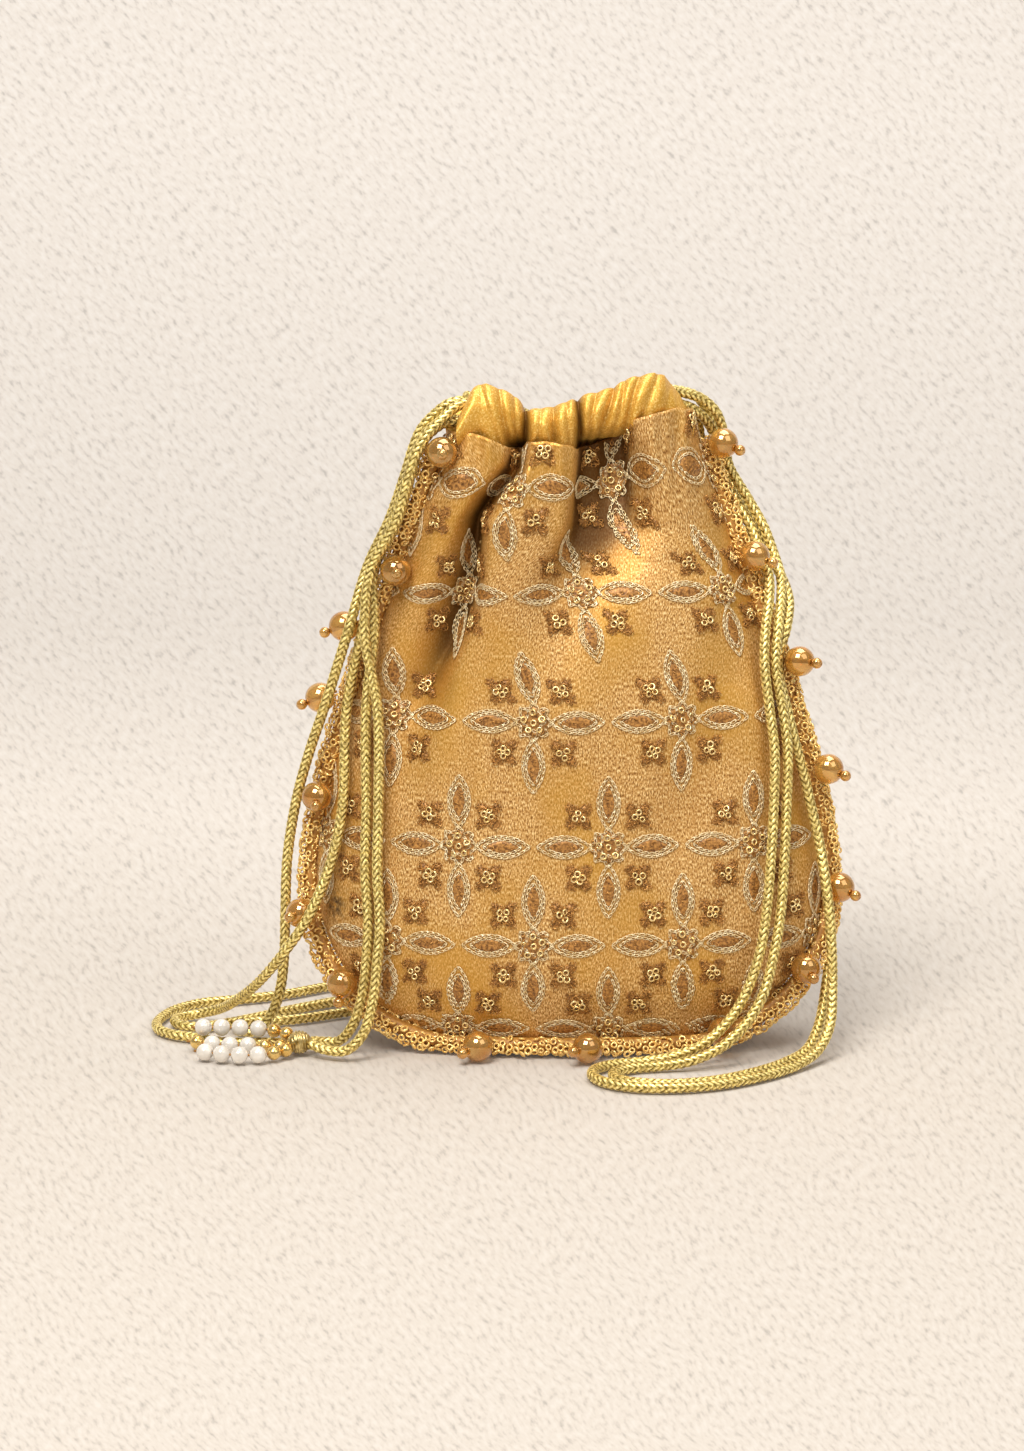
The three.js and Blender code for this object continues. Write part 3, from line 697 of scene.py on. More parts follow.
@dataclass
class ClothPanel:
    """One embroidered half of the bag, a lofted sheet with folds, closed under the base to the seam."""

    form: PouchForm
    side: Side
    columns: int = 230
    rows: int = 190
    base_rows: int = 8
    thickness: float = 0.9
    fine_columns: int = 361
    fine_rows: int = 240
    low_rows: int = 17
    low_height: float = 12.0
    edge_start: float = 160.0
    seam_margin: float = 2.5
    crease_shade_start: float = 1.4
    crease_shade_span: float = 8.0
    soil: tuple[float, float] = (-73.0, 45.0)
    dark_spot_spread: tuple[float, float] = (3.0, 4.6)

    def depth(self, x: np.ndarray, z: np.ndarray) -> np.ndarray:
        """Fold depth at level places, with small gathers below the casing."""
        total = sum(fold.depth_at(x, z) for fold in FOLDS[self.side])
        near_top = smooth_step(z, self.edge_start, 192.0)
        total = total + near_top * (0.55 * np.sin(x * 0.62 + 0.8) + 0.4 * np.sin(x * 1.13 + 2.1))
        slack = 0.45 * np.sin(x * 0.11 + z * 0.045) + 0.35 * np.sin(x * 0.19 - z * 0.083 + 1.3)
        return total + slack * smooth_step(z, 15.0, 60.0)

    def surface(self, angles: np.ndarray, z: np.ndarray, inset: float = 0.0) -> np.ndarray:
        """Places on the cloth.

        Args:
            angles: Angle round the half from the left seam to the right, one for each column.
            z: Height of each row.
            inset: How far inside the outer face.

        Returns:
            An array of rows, columns and three coordinates.
        """
        width, front, back, seam = (part[:, None] for part in self.form.sections(z).T)
        depth = front if self.side is Side.FRONT else back
        level = np.repeat(z[:, None], len(angles), axis=1)
        x = (width - inset) * np.sin(angles)[None]
        y = seam + self.side.value * (depth - inset) * np.cos(angles)[None]
        x, y = self.form.turned(x, y, level)
        facing = smooth_step(np.cos(angles), 0.05, 0.5)[None]
        y = y - self.side.value * self.depth(x, level) * facing
        edge = np.interp(x, *zip(*TOP_EDGES[self.side]))
        level = level + (edge - self.form.height) * smooth_step(level, self.edge_start, self.form.height)
        return np.stack([x, y, level], axis=2)

    def flat_map(self) -> None:
        """Measure the cloth along its rows and up its middle, for what is sewn on it."""
        self.fine_z = np.linspace(0.5, self.form.height, self.fine_rows)
        self.fine = self.surface(np.linspace(-math.pi / 2, math.pi / 2, self.fine_columns), self.fine_z)
        run = run_along(self.fine, 1)
        shift = np.interp(self.fine_z, (0, 110, 140, 165, 193), (0, 0, -8, -9, -6))
        zero = np.array([np.interp(s, row[:, 0], line) for s, row, line in zip(shift, self.fine, run)])
        self.across = run - zero[:, None]
        self.up = run_along(self.fine[:, self.fine_columns // 2])
        self.normals = unit(np.cross(np.gradient(self.fine, axis=1), np.gradient(self.fine, axis=0)))
        self.normals *= np.sign((self.normals[:, :, 1] * self.side.value).mean())

    def sewn(self, s: np.ndarray, t: np.ndarray, lift: float) -> tuple[np.ndarray, np.ndarray, np.ndarray]:
        """Carry flat places onto the cloth.

        Args:
            s: Distance across from the middle line.
            t: Distance up from the base.
            lift: Height above the cloth.

        Returns:
            Places, unit normals, and which places lie on the cloth.
        """
        row = np.clip(np.interp(t, self.up, np.arange(len(self.up))), 0, len(self.up) - 1.001)
        low = row.astype(int)
        share = (row - low)[:, None]
        column = np.zeros(len(s))
        for level in np.unique(low):
            here = low == level
            column[here] = np.interp(s[here], self.across[level], np.arange(self.fine_columns))
        clear = (s > self.across[low, 0] + self.seam_margin) & (s < self.across[low, -1] - self.seam_margin)
        inside = clear & (t > 2.0) & (t < self.up[-1] - 1.0)
        column = np.clip(column, 0, self.fine_columns - 1.001)
        left = column.astype(int)
        part = (column - left)[:, None]

        def read(grid: np.ndarray) -> np.ndarray:
            """Read the grid between its points."""
            lower = grid[low, left] * (1 - part) + grid[low, left + 1] * part
            upper = grid[low + 1, left] * (1 - part) + grid[low + 1, left + 1] * part
            return lower * (1 - share) + upper * share

        normal = unit(read(self.normals))
        return read(self.fine) + normal * lift, normal, inside

    def build(self, finish: bpy.types.Material, node: str) -> bpy.types.Object:
        """Make the panel.

        Args:
            finish: The cloth's material.
            node: The solid that it stands for.

        Returns:
            The finished piece.
        """
        self.flat_map()
        angles = np.linspace(-math.pi / 2, math.pi / 2, self.columns)
        z = np.concatenate([np.linspace(0, self.low_height, self.low_rows + 1)[:-1],
                            np.linspace(self.low_height, self.form.height, self.rows - self.low_rows)])
        body = self.surface(angles, z)
        seam = self.form.sections(np.array([0.0]))[0, 3]
        share = np.linspace(0, 1, self.base_rows + 1)[:-1][:, None]
        base = np.repeat(body[:1], self.base_rows, axis=0)
        base[:, :, 1] = seam + (base[:, :, 1] - seam) * share
        whole = np.concatenate([base, body])
        middle = self.columns // 2
        run = run_along(whole, 1)
        run -= run[:, middle][:, None]
        rise = np.repeat(run_along(whole[:, middle])[:, None], self.columns, axis=1)
        uv = np.stack([run, rise], axis=2) * MM
        faces = [face[::-self.side.value] for face in grid_faces(len(whole), self.columns)]
        whole = whole.reshape(-1, 3)
        piece = make_piece(node.replace("panel", "cloth"), whole, faces, finish, uv.reshape(-1, 2))
        # painted shade: how deep each point lies in a fold, kept for the tissue's painted crease shade and bounce
        # light
        inward = self.depth(whole[:, 0], whole[:, 2])
        crease_shade = np.clip((inward - self.crease_shade_start) / self.crease_shade_span, 0.0, 1.0) ** 1.15
        write_points(piece.data, "crease_shade", crease_shade)
        # a small dark spot low on the left of the front half only
        far = (((whole[:, [0, 2]] - self.soil) / self.dark_spot_spread) ** 2).sum(axis=1)
        write_points(piece.data, "soil", np.exp(-far) if self.side is Side.FRONT else np.zeros(len(whole)))
        add_wall(piece, self.thickness)
        seat(piece, "tissue", node)
        return piece


@dataclass
class LiningBag:
    """The thin lining, open at the mouth."""

    front: ClothPanel
    back: ClothPanel
    inset: float = 2.4
    thickness: float = 0.4
    top: float = 189.5
    columns: int = 60
    rows: int = 70

    def build(self, finish: bpy.types.Material) -> bpy.types.Object:
        """Make the lining.

        Args:
            finish: The lining's material.

        Returns:
            The finished piece.
        """
        angles = np.linspace(-math.pi / 2, math.pi / 2, self.columns)
        z = np.linspace(self.inset, self.top, self.rows)
        front = self.front.surface(angles, z, self.inset)
        back = self.back.surface(angles, z, self.inset)[:, ::-1]
        ring = np.concatenate([front[:, :-1], back[:, :-1]], axis=1)
        count = ring.shape[1]
        points = ring.reshape(-1, 3)
        middle = ring[0].mean(axis=0)
        faces = grid_faces(self.rows, count, wrap=True)
        faces += [((j + 1) % count, j, len(points)) for j in range(count)]
        piece = make_piece("lining_cloth", np.vstack([points, middle]), faces, finish)
        add_wall(piece, self.thickness)
        seat(piece, "lining", "lining_bag")
        return piece


CROWNS = {
    Side.FRONT: (
        (-37.5, 197), (-36, 201), (-33.5, 204), (-31, 205.7), (-28.5, 206.9), (-25.5, 207.3), (-21, 206),
        (-17, 203), (-13, 199.5), (-9, 199.8), (-3, 201.5), (2, 203), (8, 204.4), (14, 206.4), (20, 209),
        (25, 209.8), (29, 208.6), (32, 205.5), (34.5, 201.5), (37, 196.5), (40, 192)),
    Side.BACK: (
        (-40, 195), (-35, 199), (-30, 201.5), (-24, 202), (-18, 198.5), (-11, 196.5), (-5, 197.5), (2, 199.5),
        (10, 201), (20, 204), (26, 204.5), (31, 202), (35, 197)),
}
# Each ruffle: place across, depth, width and lean
RUFFLES = {
    Side.FRONT: (
        (-29.5, 1.5, 2.2, 6), (-24.6, 1.2, 1.8, 6), (-20.2, 2.8, 1.6, 3), (-17.0, 2.0, 1.2, 2),
        (-14.2, 6.4, 1.5, 0), (-9.6, 1.4, 1.4, -2), (-5.2, 3.2, 1.5, 1), (-1.2, 1.6, 1.2, 2),
        (2.4, 6.6, 1.5, 0), (6.2, 2.4, 1.3, -3), (10.2, 3.6, 1.5, -5), (14.0, 2.2, 1.3, -6),
        (17.6, 3.2, 1.6, -7), (22.6, 2.2, 1.8, -7), (28.4, 1.6, 2.2, -6)),
    Side.BACK: (
        (-29, 1.6, 2.2, 5), (-23, 2.0, 1.8, 3), (-17.4, 2.6, 1.6, 2), (-11.5, 6.0, 1.6, 0),
        (-6.4, 2.0, 1.4, -2), (-1.0, 2.8, 1.6, 1), (4.4, 2.0, 1.4, 2), (8.2, 2.2, 1.4, 2),
        (12, 6.0, 1.6, 0), (16.6, 2.6, 1.5, -3), (22, 2.2, 1.8, -5), (28, 1.6, 2.2, -5)),
}


@dataclass
class Casing:
    """One half of the gathered sleeve at the mouth: a strip folded over the cords, pulled into ruffles."""

    form: PouchForm
    panel: ClothPanel
    bottom: float = 186.5
    half_length: float = 38.2
    neck_half: float = 39.0
    outer_depth: float = 15.2
    end_depth: float = 8.6
    end_crown: float = 194.0
    end_round: float = 5.0
    full_crown: float = 210.5
    push_level: float = 189.0
    held: float = 0.15
    crease_shade_start: float = 1.3
    crease_shade_span: float = 4.2
    columns: int = 420
    section: tuple[tuple[float, float], ...] = (
        (-3.4, -0.12), (-3.0, 0.0), (-1.9, 0.08), (-0.5, 0.17), (0.9, 0.27), (2.0, 0.38), (2.6, 0.49),
        (2.7, 0.60), (2.3, 0.70), (1.5, 0.79), (0.4, 0.87), (-0.9, 0.935), (-2.3, 0.98), (-3.6, 1.0),
        (-4.7, 0.985), (-5.6, 0.93), (-6.3, 0.83), (-6.6, 0.7), (-6.7, 0.5), (-6.7, 0.3), (-6.6, 0.1))

    def crown(self, x: np.ndarray) -> np.ndarray:
        """Height of the sleeve's top."""
        return np.interp(x, *zip(*CROWNS[self.panel.side]))

    def pinch(self, x: np.ndarray, rise: float = 0.5, spread: float = 1.0) -> np.ndarray:
        """How far the ruffles pull the sleeve in.

        Args:
            x: Places across.
            rise: Height share up the sleeve, as the ruffles lean.
            spread: How much wider than the cloth's own ruffles they are read.

        Returns:
            Depth at each place.
        """
        return sum(d * np.exp(-np.abs((x - p - lean * (0.5 - rise)) / (w * spread)) ** 1.3)
                   for p, d, w, lean in RUFFLES[self.panel.side])

    def push(self, x: np.ndarray, facing: np.ndarray) -> np.ndarray:
        """How far the bag's own folds pull the sleeve in."""
        return self.panel.depth(x, np.full_like(x, self.push_level)) * smooth_step(facing, 0.1, 0.45)

    def build(self, finish: bpy.types.Material, node: str) -> bpy.types.Object:
        """Make the half sleeve.

        Args:
            finish: The sleeve's material.
            node: The solid that it stands for.

        Returns:
            The finished piece.
        """
        sign = self.panel.side.value
        x = np.linspace(-self.half_length + sign, self.half_length + sign, self.columns)
        facing = np.cos(x / self.neck_half * math.pi / 2)
        curve = np.sqrt(np.clip(1 - (x / self.neck_half) ** 2, 0, 1))
        base = np.maximum(self.outer_depth * curve, self.end_depth)
        wide, deep = self.form.turned(x, sign * base, np.full_like(x, self.form.height))
        ends = smooth_step(self.half_length - np.abs(x - sign), 0.0, self.end_round)
        crown = self.end_crown + (self.crown(wide) - self.end_crown) * (0.25 + 0.75 * np.sqrt(ends))
        push = self.push(wide, facing)
        full = smooth_step(facing, 0.05, 0.35)
        rows, crease_shades = [], []
        for out, rise in self.section:
            level = min(max(rise, 0.0), 1.0)
            pinch = self.pinch(wide, level) * full
            # painted shade: how deep the ruffles pull in, kept for the sleeve's painted shade in their valleys
            crease_shades.append(np.clip((pinch - self.crease_shade_start) / self.crease_shade_span, 0.0, 1.0) ** 1.2)
            swell = math.sin(math.pi * min(level * 0.8 + 0.12, 1.0))
            ripple = 0.3 * np.sin(wide * 0.9 + level * 4.4) * np.sin(wide * 0.31 + level * 2.0)
            drawn = pinch * (0.45 + 0.55 * swell) + ripple * swell
            held = push * (self.held + (1 - self.held) * (1 - smooth_step(np.array(level), 0.0, 0.36)))
            offset = out - drawn * (1.0 if out > -3.5 or level < 0.1 else 0.7) - held
            z = self.bottom + (crown - 0.32 * pinch - self.bottom) * rise
            slide = 0.6 * np.sin(wide * 0.45 + level * 3.0) * level
            rows.append(np.stack([wide + slide, deep + sign * offset, z], axis=1))
        grid = np.array(rows)
        widest = len(grid) // 3
        uv = np.stack(np.meshgrid(run_along(grid[widest]), run_along(grid[:, self.columns // 2])), axis=2) * MM
        faces = [face[::-sign] for face in grid_faces(len(grid), self.columns)]
        name = node.replace("casing", "sleeve")
        piece = make_piece(name, grid.reshape(-1, 3), faces, finish, uv.reshape(-1, 2))
        write_points(piece.data, "crease_shade", np.concatenate(crease_shades))
        soft = piece.modifiers.new("soft", "SUBSURF")
        soft.levels = soft.render_levels = 1
        seat(piece, "casing", node)
        return piece


@dataclass
class RingTree:
    """A Geometry Nodes tree that sets small wire rings on points, turned by the points' own directions."""

    name: str
    ring_sides: int = 8
    wire_sides: int = 4

    def tree(self) -> bpy.types.NodeTree:
        """Build the tree.

        Returns:
            The tree, with inputs for ring size, wire size and finish.
        """
        tree = bpy.data.node_groups.new(self.name, "GeometryNodeTree")
        face = tree.interface
        face.new_socket("Points", in_out="INPUT", socket_type="NodeSocketGeometry")
        for label, size in (("Ring radius", 0.8), ("Wire radius", 0.25), ("Stretch", 1.0)):
            face.new_socket(label, in_out="INPUT", socket_type="NodeSocketFloat").default_value = size
        face.new_socket("Finish", in_out="INPUT", socket_type="NodeSocketMaterial")
        face.new_socket("Rings", in_out="OUTPUT", socket_type="NodeSocketGeometry")
        new, link = tree.nodes.new, tree.links.new
        given, result = new("NodeGroupInput"), new("NodeGroupOutput")
        ring, wire = new("GeometryNodeCurvePrimitiveCircle"), new("GeometryNodeCurvePrimitiveCircle")
        ring.inputs["Resolution"].default_value = self.ring_sides
        wire.inputs["Resolution"].default_value = self.wire_sides
        link(given.outputs["Ring radius"], ring.inputs["Radius"])
        link(given.outputs["Wire radius"], wire.inputs["Radius"])
        shape = new("GeometryNodeCurveToMesh")
        link(ring.outputs["Curve"], shape.inputs["Curve"])
        link(wire.outputs["Curve"], shape.inputs["Profile Curve"])
        stretch = new("ShaderNodeCombineXYZ")
        link(given.outputs["Stretch"], stretch.inputs["X"])
        stretch.inputs["Y"].default_value = 1.0
        stretch.inputs["Z"].default_value = 1.0
        longer = new("GeometryNodeTransform")
        link(shape.outputs["Mesh"], longer.inputs["Geometry"])
        link(stretch.outputs["Vector"], longer.inputs["Scale"])
        facing, along, size = (new("GeometryNodeInputNamedAttribute") for _ in range(3))
        for node, label, kind in ((facing, "facing", "FLOAT_VECTOR"), (along, "along", "FLOAT_VECTOR"),
                                  (size, "size", "FLOAT")):
            node.data_type = kind
            node.inputs["Name"].default_value = label
        upright, turned = new("FunctionNodeAlignRotationToVector"), new("FunctionNodeAlignRotationToVector")
        upright.axis = "Z"
        turned.axis = "X"
        turned.pivot_axis = "Z"
        link(facing.outputs["Attribute"], upright.inputs["Vector"])
        link(upright.outputs["Rotation"], turned.inputs["Rotation"])
        link(along.outputs["Attribute"], turned.inputs["Vector"])
        place = new("GeometryNodeInstanceOnPoints")
        link(given.outputs["Points"], place.inputs["Points"])
        link(longer.outputs["Geometry"], place.inputs["Instance"])
        link(turned.outputs["Rotation"], place.inputs["Rotation"])
        link(size.outputs["Attribute"], place.inputs["Scale"])
        real, smooth, dress = (new(kind) for kind in (
            "GeometryNodeRealizeInstances", "GeometryNodeSetShadeSmooth", "GeometryNodeSetMaterial"))
        link(place.outputs["Instances"], real.inputs["Geometry"])
        link(real.outputs["Geometry"], smooth.inputs[0])
        link(smooth.outputs[0], dress.inputs["Geometry"])
        link(given.outputs["Finish"], dress.inputs["Material"])
        link(dress.outputs["Geometry"], result.inputs["Rings"])
        return tree

    def scatter(self, piece_name: str, places: np.ndarray, facing: np.ndarray, along: np.ndarray,
                size: np.ndarray, finish: bpy.types.Material, ring: float, wire: float,
                stretch: float = 1.0) -> bpy.types.Object:
        """Set rings on points and keep them as a plain mesh.

        Args:
            piece_name: Name of the piece.
            places: Ring middles in millimetres.
            facing: Which way each ring's flat side looks.
            along: Which way each ring's long side runs.
            size: Size share of each ring.
            finish: The rings' material.
            ring: Ring radius in millimetres.
            wire: Wire radius in millimetres.
            stretch: Length of a ring as a share of its width.

        Returns:
            The piece, not yet seated.
        """
        mesh = bpy.data.meshes.new(piece_name)
        mesh.from_pydata((np.asarray(places) * MM).tolist(), [], [])
        for label, values in (("facing", facing), ("along", along), ("size", size)):
            write_points(mesh, label, values)
        piece = add_object(piece_name, mesh)
        tree = self.tree()
        modifier = piece.modifiers.new("rings", "NODES")
        modifier.node_group = tree
        inputs = {item.name: item.identifier for item in tree.interface.items_tree if item.in_out == "INPUT"}
        given = {"Ring radius": ring * MM, "Wire radius": wire * MM, "Stretch": stretch, "Finish": finish}
        for label, value in given.items():
            modifier[inputs[label]] = value
        return set_plain(piece)


@dataclass(frozen=True)
class RingKind:
    """Loose rings of one kind: how they lie on the cloth, and their sizes in millimetres."""

    name: str
    ring_sides: int
    wire_sides: int
    lift: float
    tilt: float
    sizes: tuple[float, float]
    ring: float
    wire: float
    stretch: float


GOLD_RINGS = RingKind("gold_ring", 9, 4, 0.95, 0.3, (0.88, 1.12), 0.84, 0.33, 1.0)
BROWN_LOOPS = RingKind("brown_loop", 6, 3, 0.42, 0.45, (0.8, 1.2), 0.42, 0.17, 1.7)


@dataclass
class Embroidery:
    """Chain-stitched flowers with brown fill and gold rings, on a half-drop lattice of one panel."""

    panel: ClothPanel
    heights: tuple[float, ...] = (9.0, 36.5, 66.4, 104.5, 143.0, 178.0)
    pitch: float = 46.0
    start: float = 11.4
    petals: tuple[tuple[float, float, float, float], ...] = (
        (90, 5.4, 21.6, 3.3), (270, 5.4, 21.6, 3.3), (0, 5.2, 21.8, 3.3), (180, 5.2, 21.8, 3.3))
    star_place: tuple[float, float] = (9.2, 9.4)
    stitch: float = 1.75

    @property
    def corners(self) -> list[np.ndarray]:
        """Flat places of the four small stars round a flower."""
        return [np.array([sx * self.star_place[0], sy * self.star_place[1]]) for sx in (-1, 1) for sy in (-1, 1)]

    def centres(self) -> list[tuple[float, float]]:
        """Flat places of the flowers."""
        found = []
        for row, height in enumerate(self.heights):
            t = float(np.interp(height, self.panel.fine_z, self.panel.up))
            shift = self.start + (0.0 if row % 2 == 0 else self.pitch / 2)
            for k in range(-4, 4):
                found.append((shift + k * self.pitch, t))
        return found

    @staticmethod
    def marquise(angle: float, inner: float, outer: float, half: float, shrink: float, count: int) -> np.ndarray:
        """Outline of one petal.

        Args:
            angle: Direction of the petal in degrees.
            inner: Near tip's distance from the middle.
            outer: Far tip's distance.
            half: Half the petal's width.
            shrink: Size share of this outline.
            count: Number of points round it.

        Returns:
            Flat points round the petal.
        """
        middle = (inner + outer) / 2
        reach = (outer - inner) / 2 * shrink
        turn = full_turn(count)
        far = middle + reach * np.cos(turn)
        wide = half * shrink * np.sin(turn) * np.abs(np.sin(turn)) ** 0.9
        a = math.radians(angle)
        return np.stack([far * math.cos(a) - wide * math.sin(a), far * math.sin(a) + wide * math.cos(a)], axis=1)

    def even(self, loop: np.ndarray, step: float) -> np.ndarray:
        """Space points evenly round a closed flat loop."""
        closed = np.vstack([loop, loop[:1]])
        run = run_along(closed)
        count = max(int(run[-1] / step), 6)
        where = np.linspace(0, run[-1], count, endpoint=False)
        return np.stack([np.interp(where, run, closed[:, k]) for k in range(2)], axis=1)

    def stitch_lines(self) -> list[np.ndarray]:
        """Flat loops that one flower's chain stitches follow."""
        loops = []
        for petal in self.petals:
            for shrink in (1.0, 0.70):
                loops.append(self.even(self.marquise(*petal, shrink, 60), self.stitch))
        turn = full_turn(120)
        for reach, swing, lobes in ((4.9, 1.1, 8), (2.9, 0.8, 6)):
            wavy = reach + swing * np.cos(lobes * turn)
            loops.append(self.even(round_middle(wavy, turn), self.stitch))
        return loops

    @staticmethod
    def star() -> np.ndarray:
        """Outline of a small four-pointed star."""
        turn = full_turn(24)
        return round_middle(3.3 + 1.5 * np.cos(4 * turn), turn + math.pi / 4)

    def fills(self) -> list[np.ndarray]:
        """Flat outlines that one flower's brown threads fill."""
        found = [self.marquise(*petal, 0.66, 20) for petal in self.petals]
        found.append(round_middle(4.6, full_turn(20)))
        return found + [corner + self.star() for corner in self.corners]

    def loop_places(self, pick: random.Random) -> np.ndarray:
        """Flat places of one flower's small brown thread loops."""
        found = []
        for middle in self.corners:
            for point in self.even(self.star(), 1.25):
                found.append(middle + point)
                found.append(middle + point * pick.uniform(0.45, 0.7))
        for a in full_turn(22):
            found.append(pick.uniform(2.6, 5.0) * np.array([math.cos(a), math.sin(a)]))
        for angle, inner, outer, _ in self.petals:
            a = math.radians(angle)
            ahead, aside = np.array([math.cos(a), math.sin(a)]), np.array([-math.sin(a), math.cos(a)])
            for far in np.linspace(inner + 3.4, outer - 3.4, 6):
                found.append(far * ahead + pick.uniform(-0.9, 0.9) * aside)
        return np.array(found)

    def ring_places(self, pick: random.Random) -> np.ndarray:
        """Flat places of one flower's gold rings."""
        found = [(0.0, 0.0)]
        found += [(3.0 * math.cos(a), 3.0 * math.sin(a)) for a in np.linspace(0.4, 6.68, 5, endpoint=False)]
        for x, y in self.corners:
            start = pick.random() * 6.28
            for a in start + full_turn(pick.choice((3, 4, 4))):
                found.append((x + 1.3 * math.cos(a), y + 1.3 * math.sin(a)))
        return np.array(found) + [[pick.uniform(-0.2, 0.2) for _ in range(2)] for _ in found]

    def build(self, finishes: Finishes, label: str) -> list[bpy.types.Object]:
        """Make the fill, the stitches and the rings of one panel.

        Args:
            finishes: All finishes.
            label: First word of the pieces' names.

        Returns:
            The finished pieces.
        """
        pick = random.Random(7 if self.panel.side is Side.FRONT else 8)
        rings, loops, stitches, ways, fill_points, fill_faces = [], [], [], [], [], []
        for centre in self.centres():
            rings.append(self.ring_places(pick) + centre)
            loops.append(self.loop_places(pick) + centre)
            for line in self.stitch_lines():
                following = np.roll(line, -1, axis=0)
                stitches.append((line + following) / 2 + centre)
                ways.append(unit(following - line))
            for outline in self.fills():
                self.add_fill(outline + centre, fill_points, fill_faces)
        fill = make_piece(label + "_brown_fill", np.vstack(fill_points), fill_faces, finishes.fill)
        seat(fill, "tissue")
        flat, along = np.vstack(stitches), np.vstack(ways)
        return [
            fill, self.add_stitches(label + "_chain_stitches", flat, along, finishes.chain, pick),
            self.add_rings(label + "_gold_rings", np.vstack(rings), GOLD_RINGS, finishes.ring, pick),
            self.add_rings(label + "_brown_loops", np.vstack(loops), BROWN_LOOPS, finishes.loop, pick),
        ]

    def add_stitches(self, name: str, flat: np.ndarray, ways: np.ndarray, finish: bpy.types.Material,
                     pick: random.Random) -> bpy.types.Object:
        """Sew long flat links along the chain-stitch lines.

        Args:
            name: Name of the piece.
            flat: Flat middle of each link.
            ways: Flat direction of each link.
            finish: The thread's material.
            pick: Source of the small differences in size.

        Returns:
            The seated piece.
        """
        places, facing, inside = self.panel.sewn(*flat.T, 0.4)
        ahead, _, _ = self.panel.sewn(*(flat + 0.5 * ways).T, 0.4)
        along = ahead - places
        along /= np.maximum(np.linalg.norm(along, axis=1), 1e-6)[:, None]
        size = np.array([pick.uniform(0.9, 1.1) for _ in flat])
        return seat(RingTree("chain_stitch", 6, 3).scatter(
            name, places[inside], facing[inside], along[inside], size[inside], finish, 0.36, 0.17, 2.5), "tissue")

    def add_rings(self, name: str, flat: np.ndarray, kind: RingKind, finish: bpy.types.Material,
                  pick: random.Random) -> bpy.types.Object:
        """Sew loose rings at flat places, each tilted a little.

        Args:
            name: Name of the piece.
            flat: Flat middle of each ring.
            kind: Their sizes.
            finish: Their material.
            pick: Source of the small differences in tilt and size.

        Returns:
            The seated piece.
        """
        places, facing, inside = self.panel.sewn(*flat.T, kind.lift)
        tilt = np.array([[pick.gauss(0, kind.tilt) for _ in range(3)] for _ in flat])
        size = np.array([pick.uniform(*kind.sizes) for _ in flat])
        along = tilt + (1, 0, 0.2)
        if kind.stretch > 1:  # a long loop lies any way
            along = np.array([[pick.gauss(0, 1) for _ in range(3)] for _ in flat])
        return seat(RingTree(kind.name, kind.ring_sides, kind.wire_sides).scatter(
            name, places[inside], (facing + tilt)[inside], along[inside], size[inside], finish,
            kind.ring, kind.wire, kind.stretch), "tissue")

    def add_fill(self, outline: np.ndarray, points: list[np.ndarray], faces: list[tuple[int, ...]]) -> None:
        """Add one low mound of fill thread inside an outline.

        Args:
            outline: Flat outline.
            points: Point arrays to add to.
            faces: Faces to add to.
        """
        middle = outline.mean(axis=0)
        rings = []
        for share, lift in ((1.0, 0.03), (0.86, 0.3), (0.45, 0.38)):
            flat = middle + (outline - middle) * share
            places, _, inside = self.panel.sewn(*flat.T, lift)
            if not inside.all():
                return
            rings.append(places)
        top, _, _ = self.panel.sewn(middle[:1], middle[1:], 0.4)
        first = sum(len(p) for p in points)
        count = len(outline)
        points.append(np.vstack(rings + [top]))
        turn = 1 if self.panel.side is Side.FRONT else -1
        for face in grid_faces(3, count, wrap=True):
            faces.append(tuple(first + i for i in face)[::turn])
        inner = first + 2 * count
        for j in range(count):
            faces.append((inner + j, inner + (j + 1) % count, inner + count)[::turn])


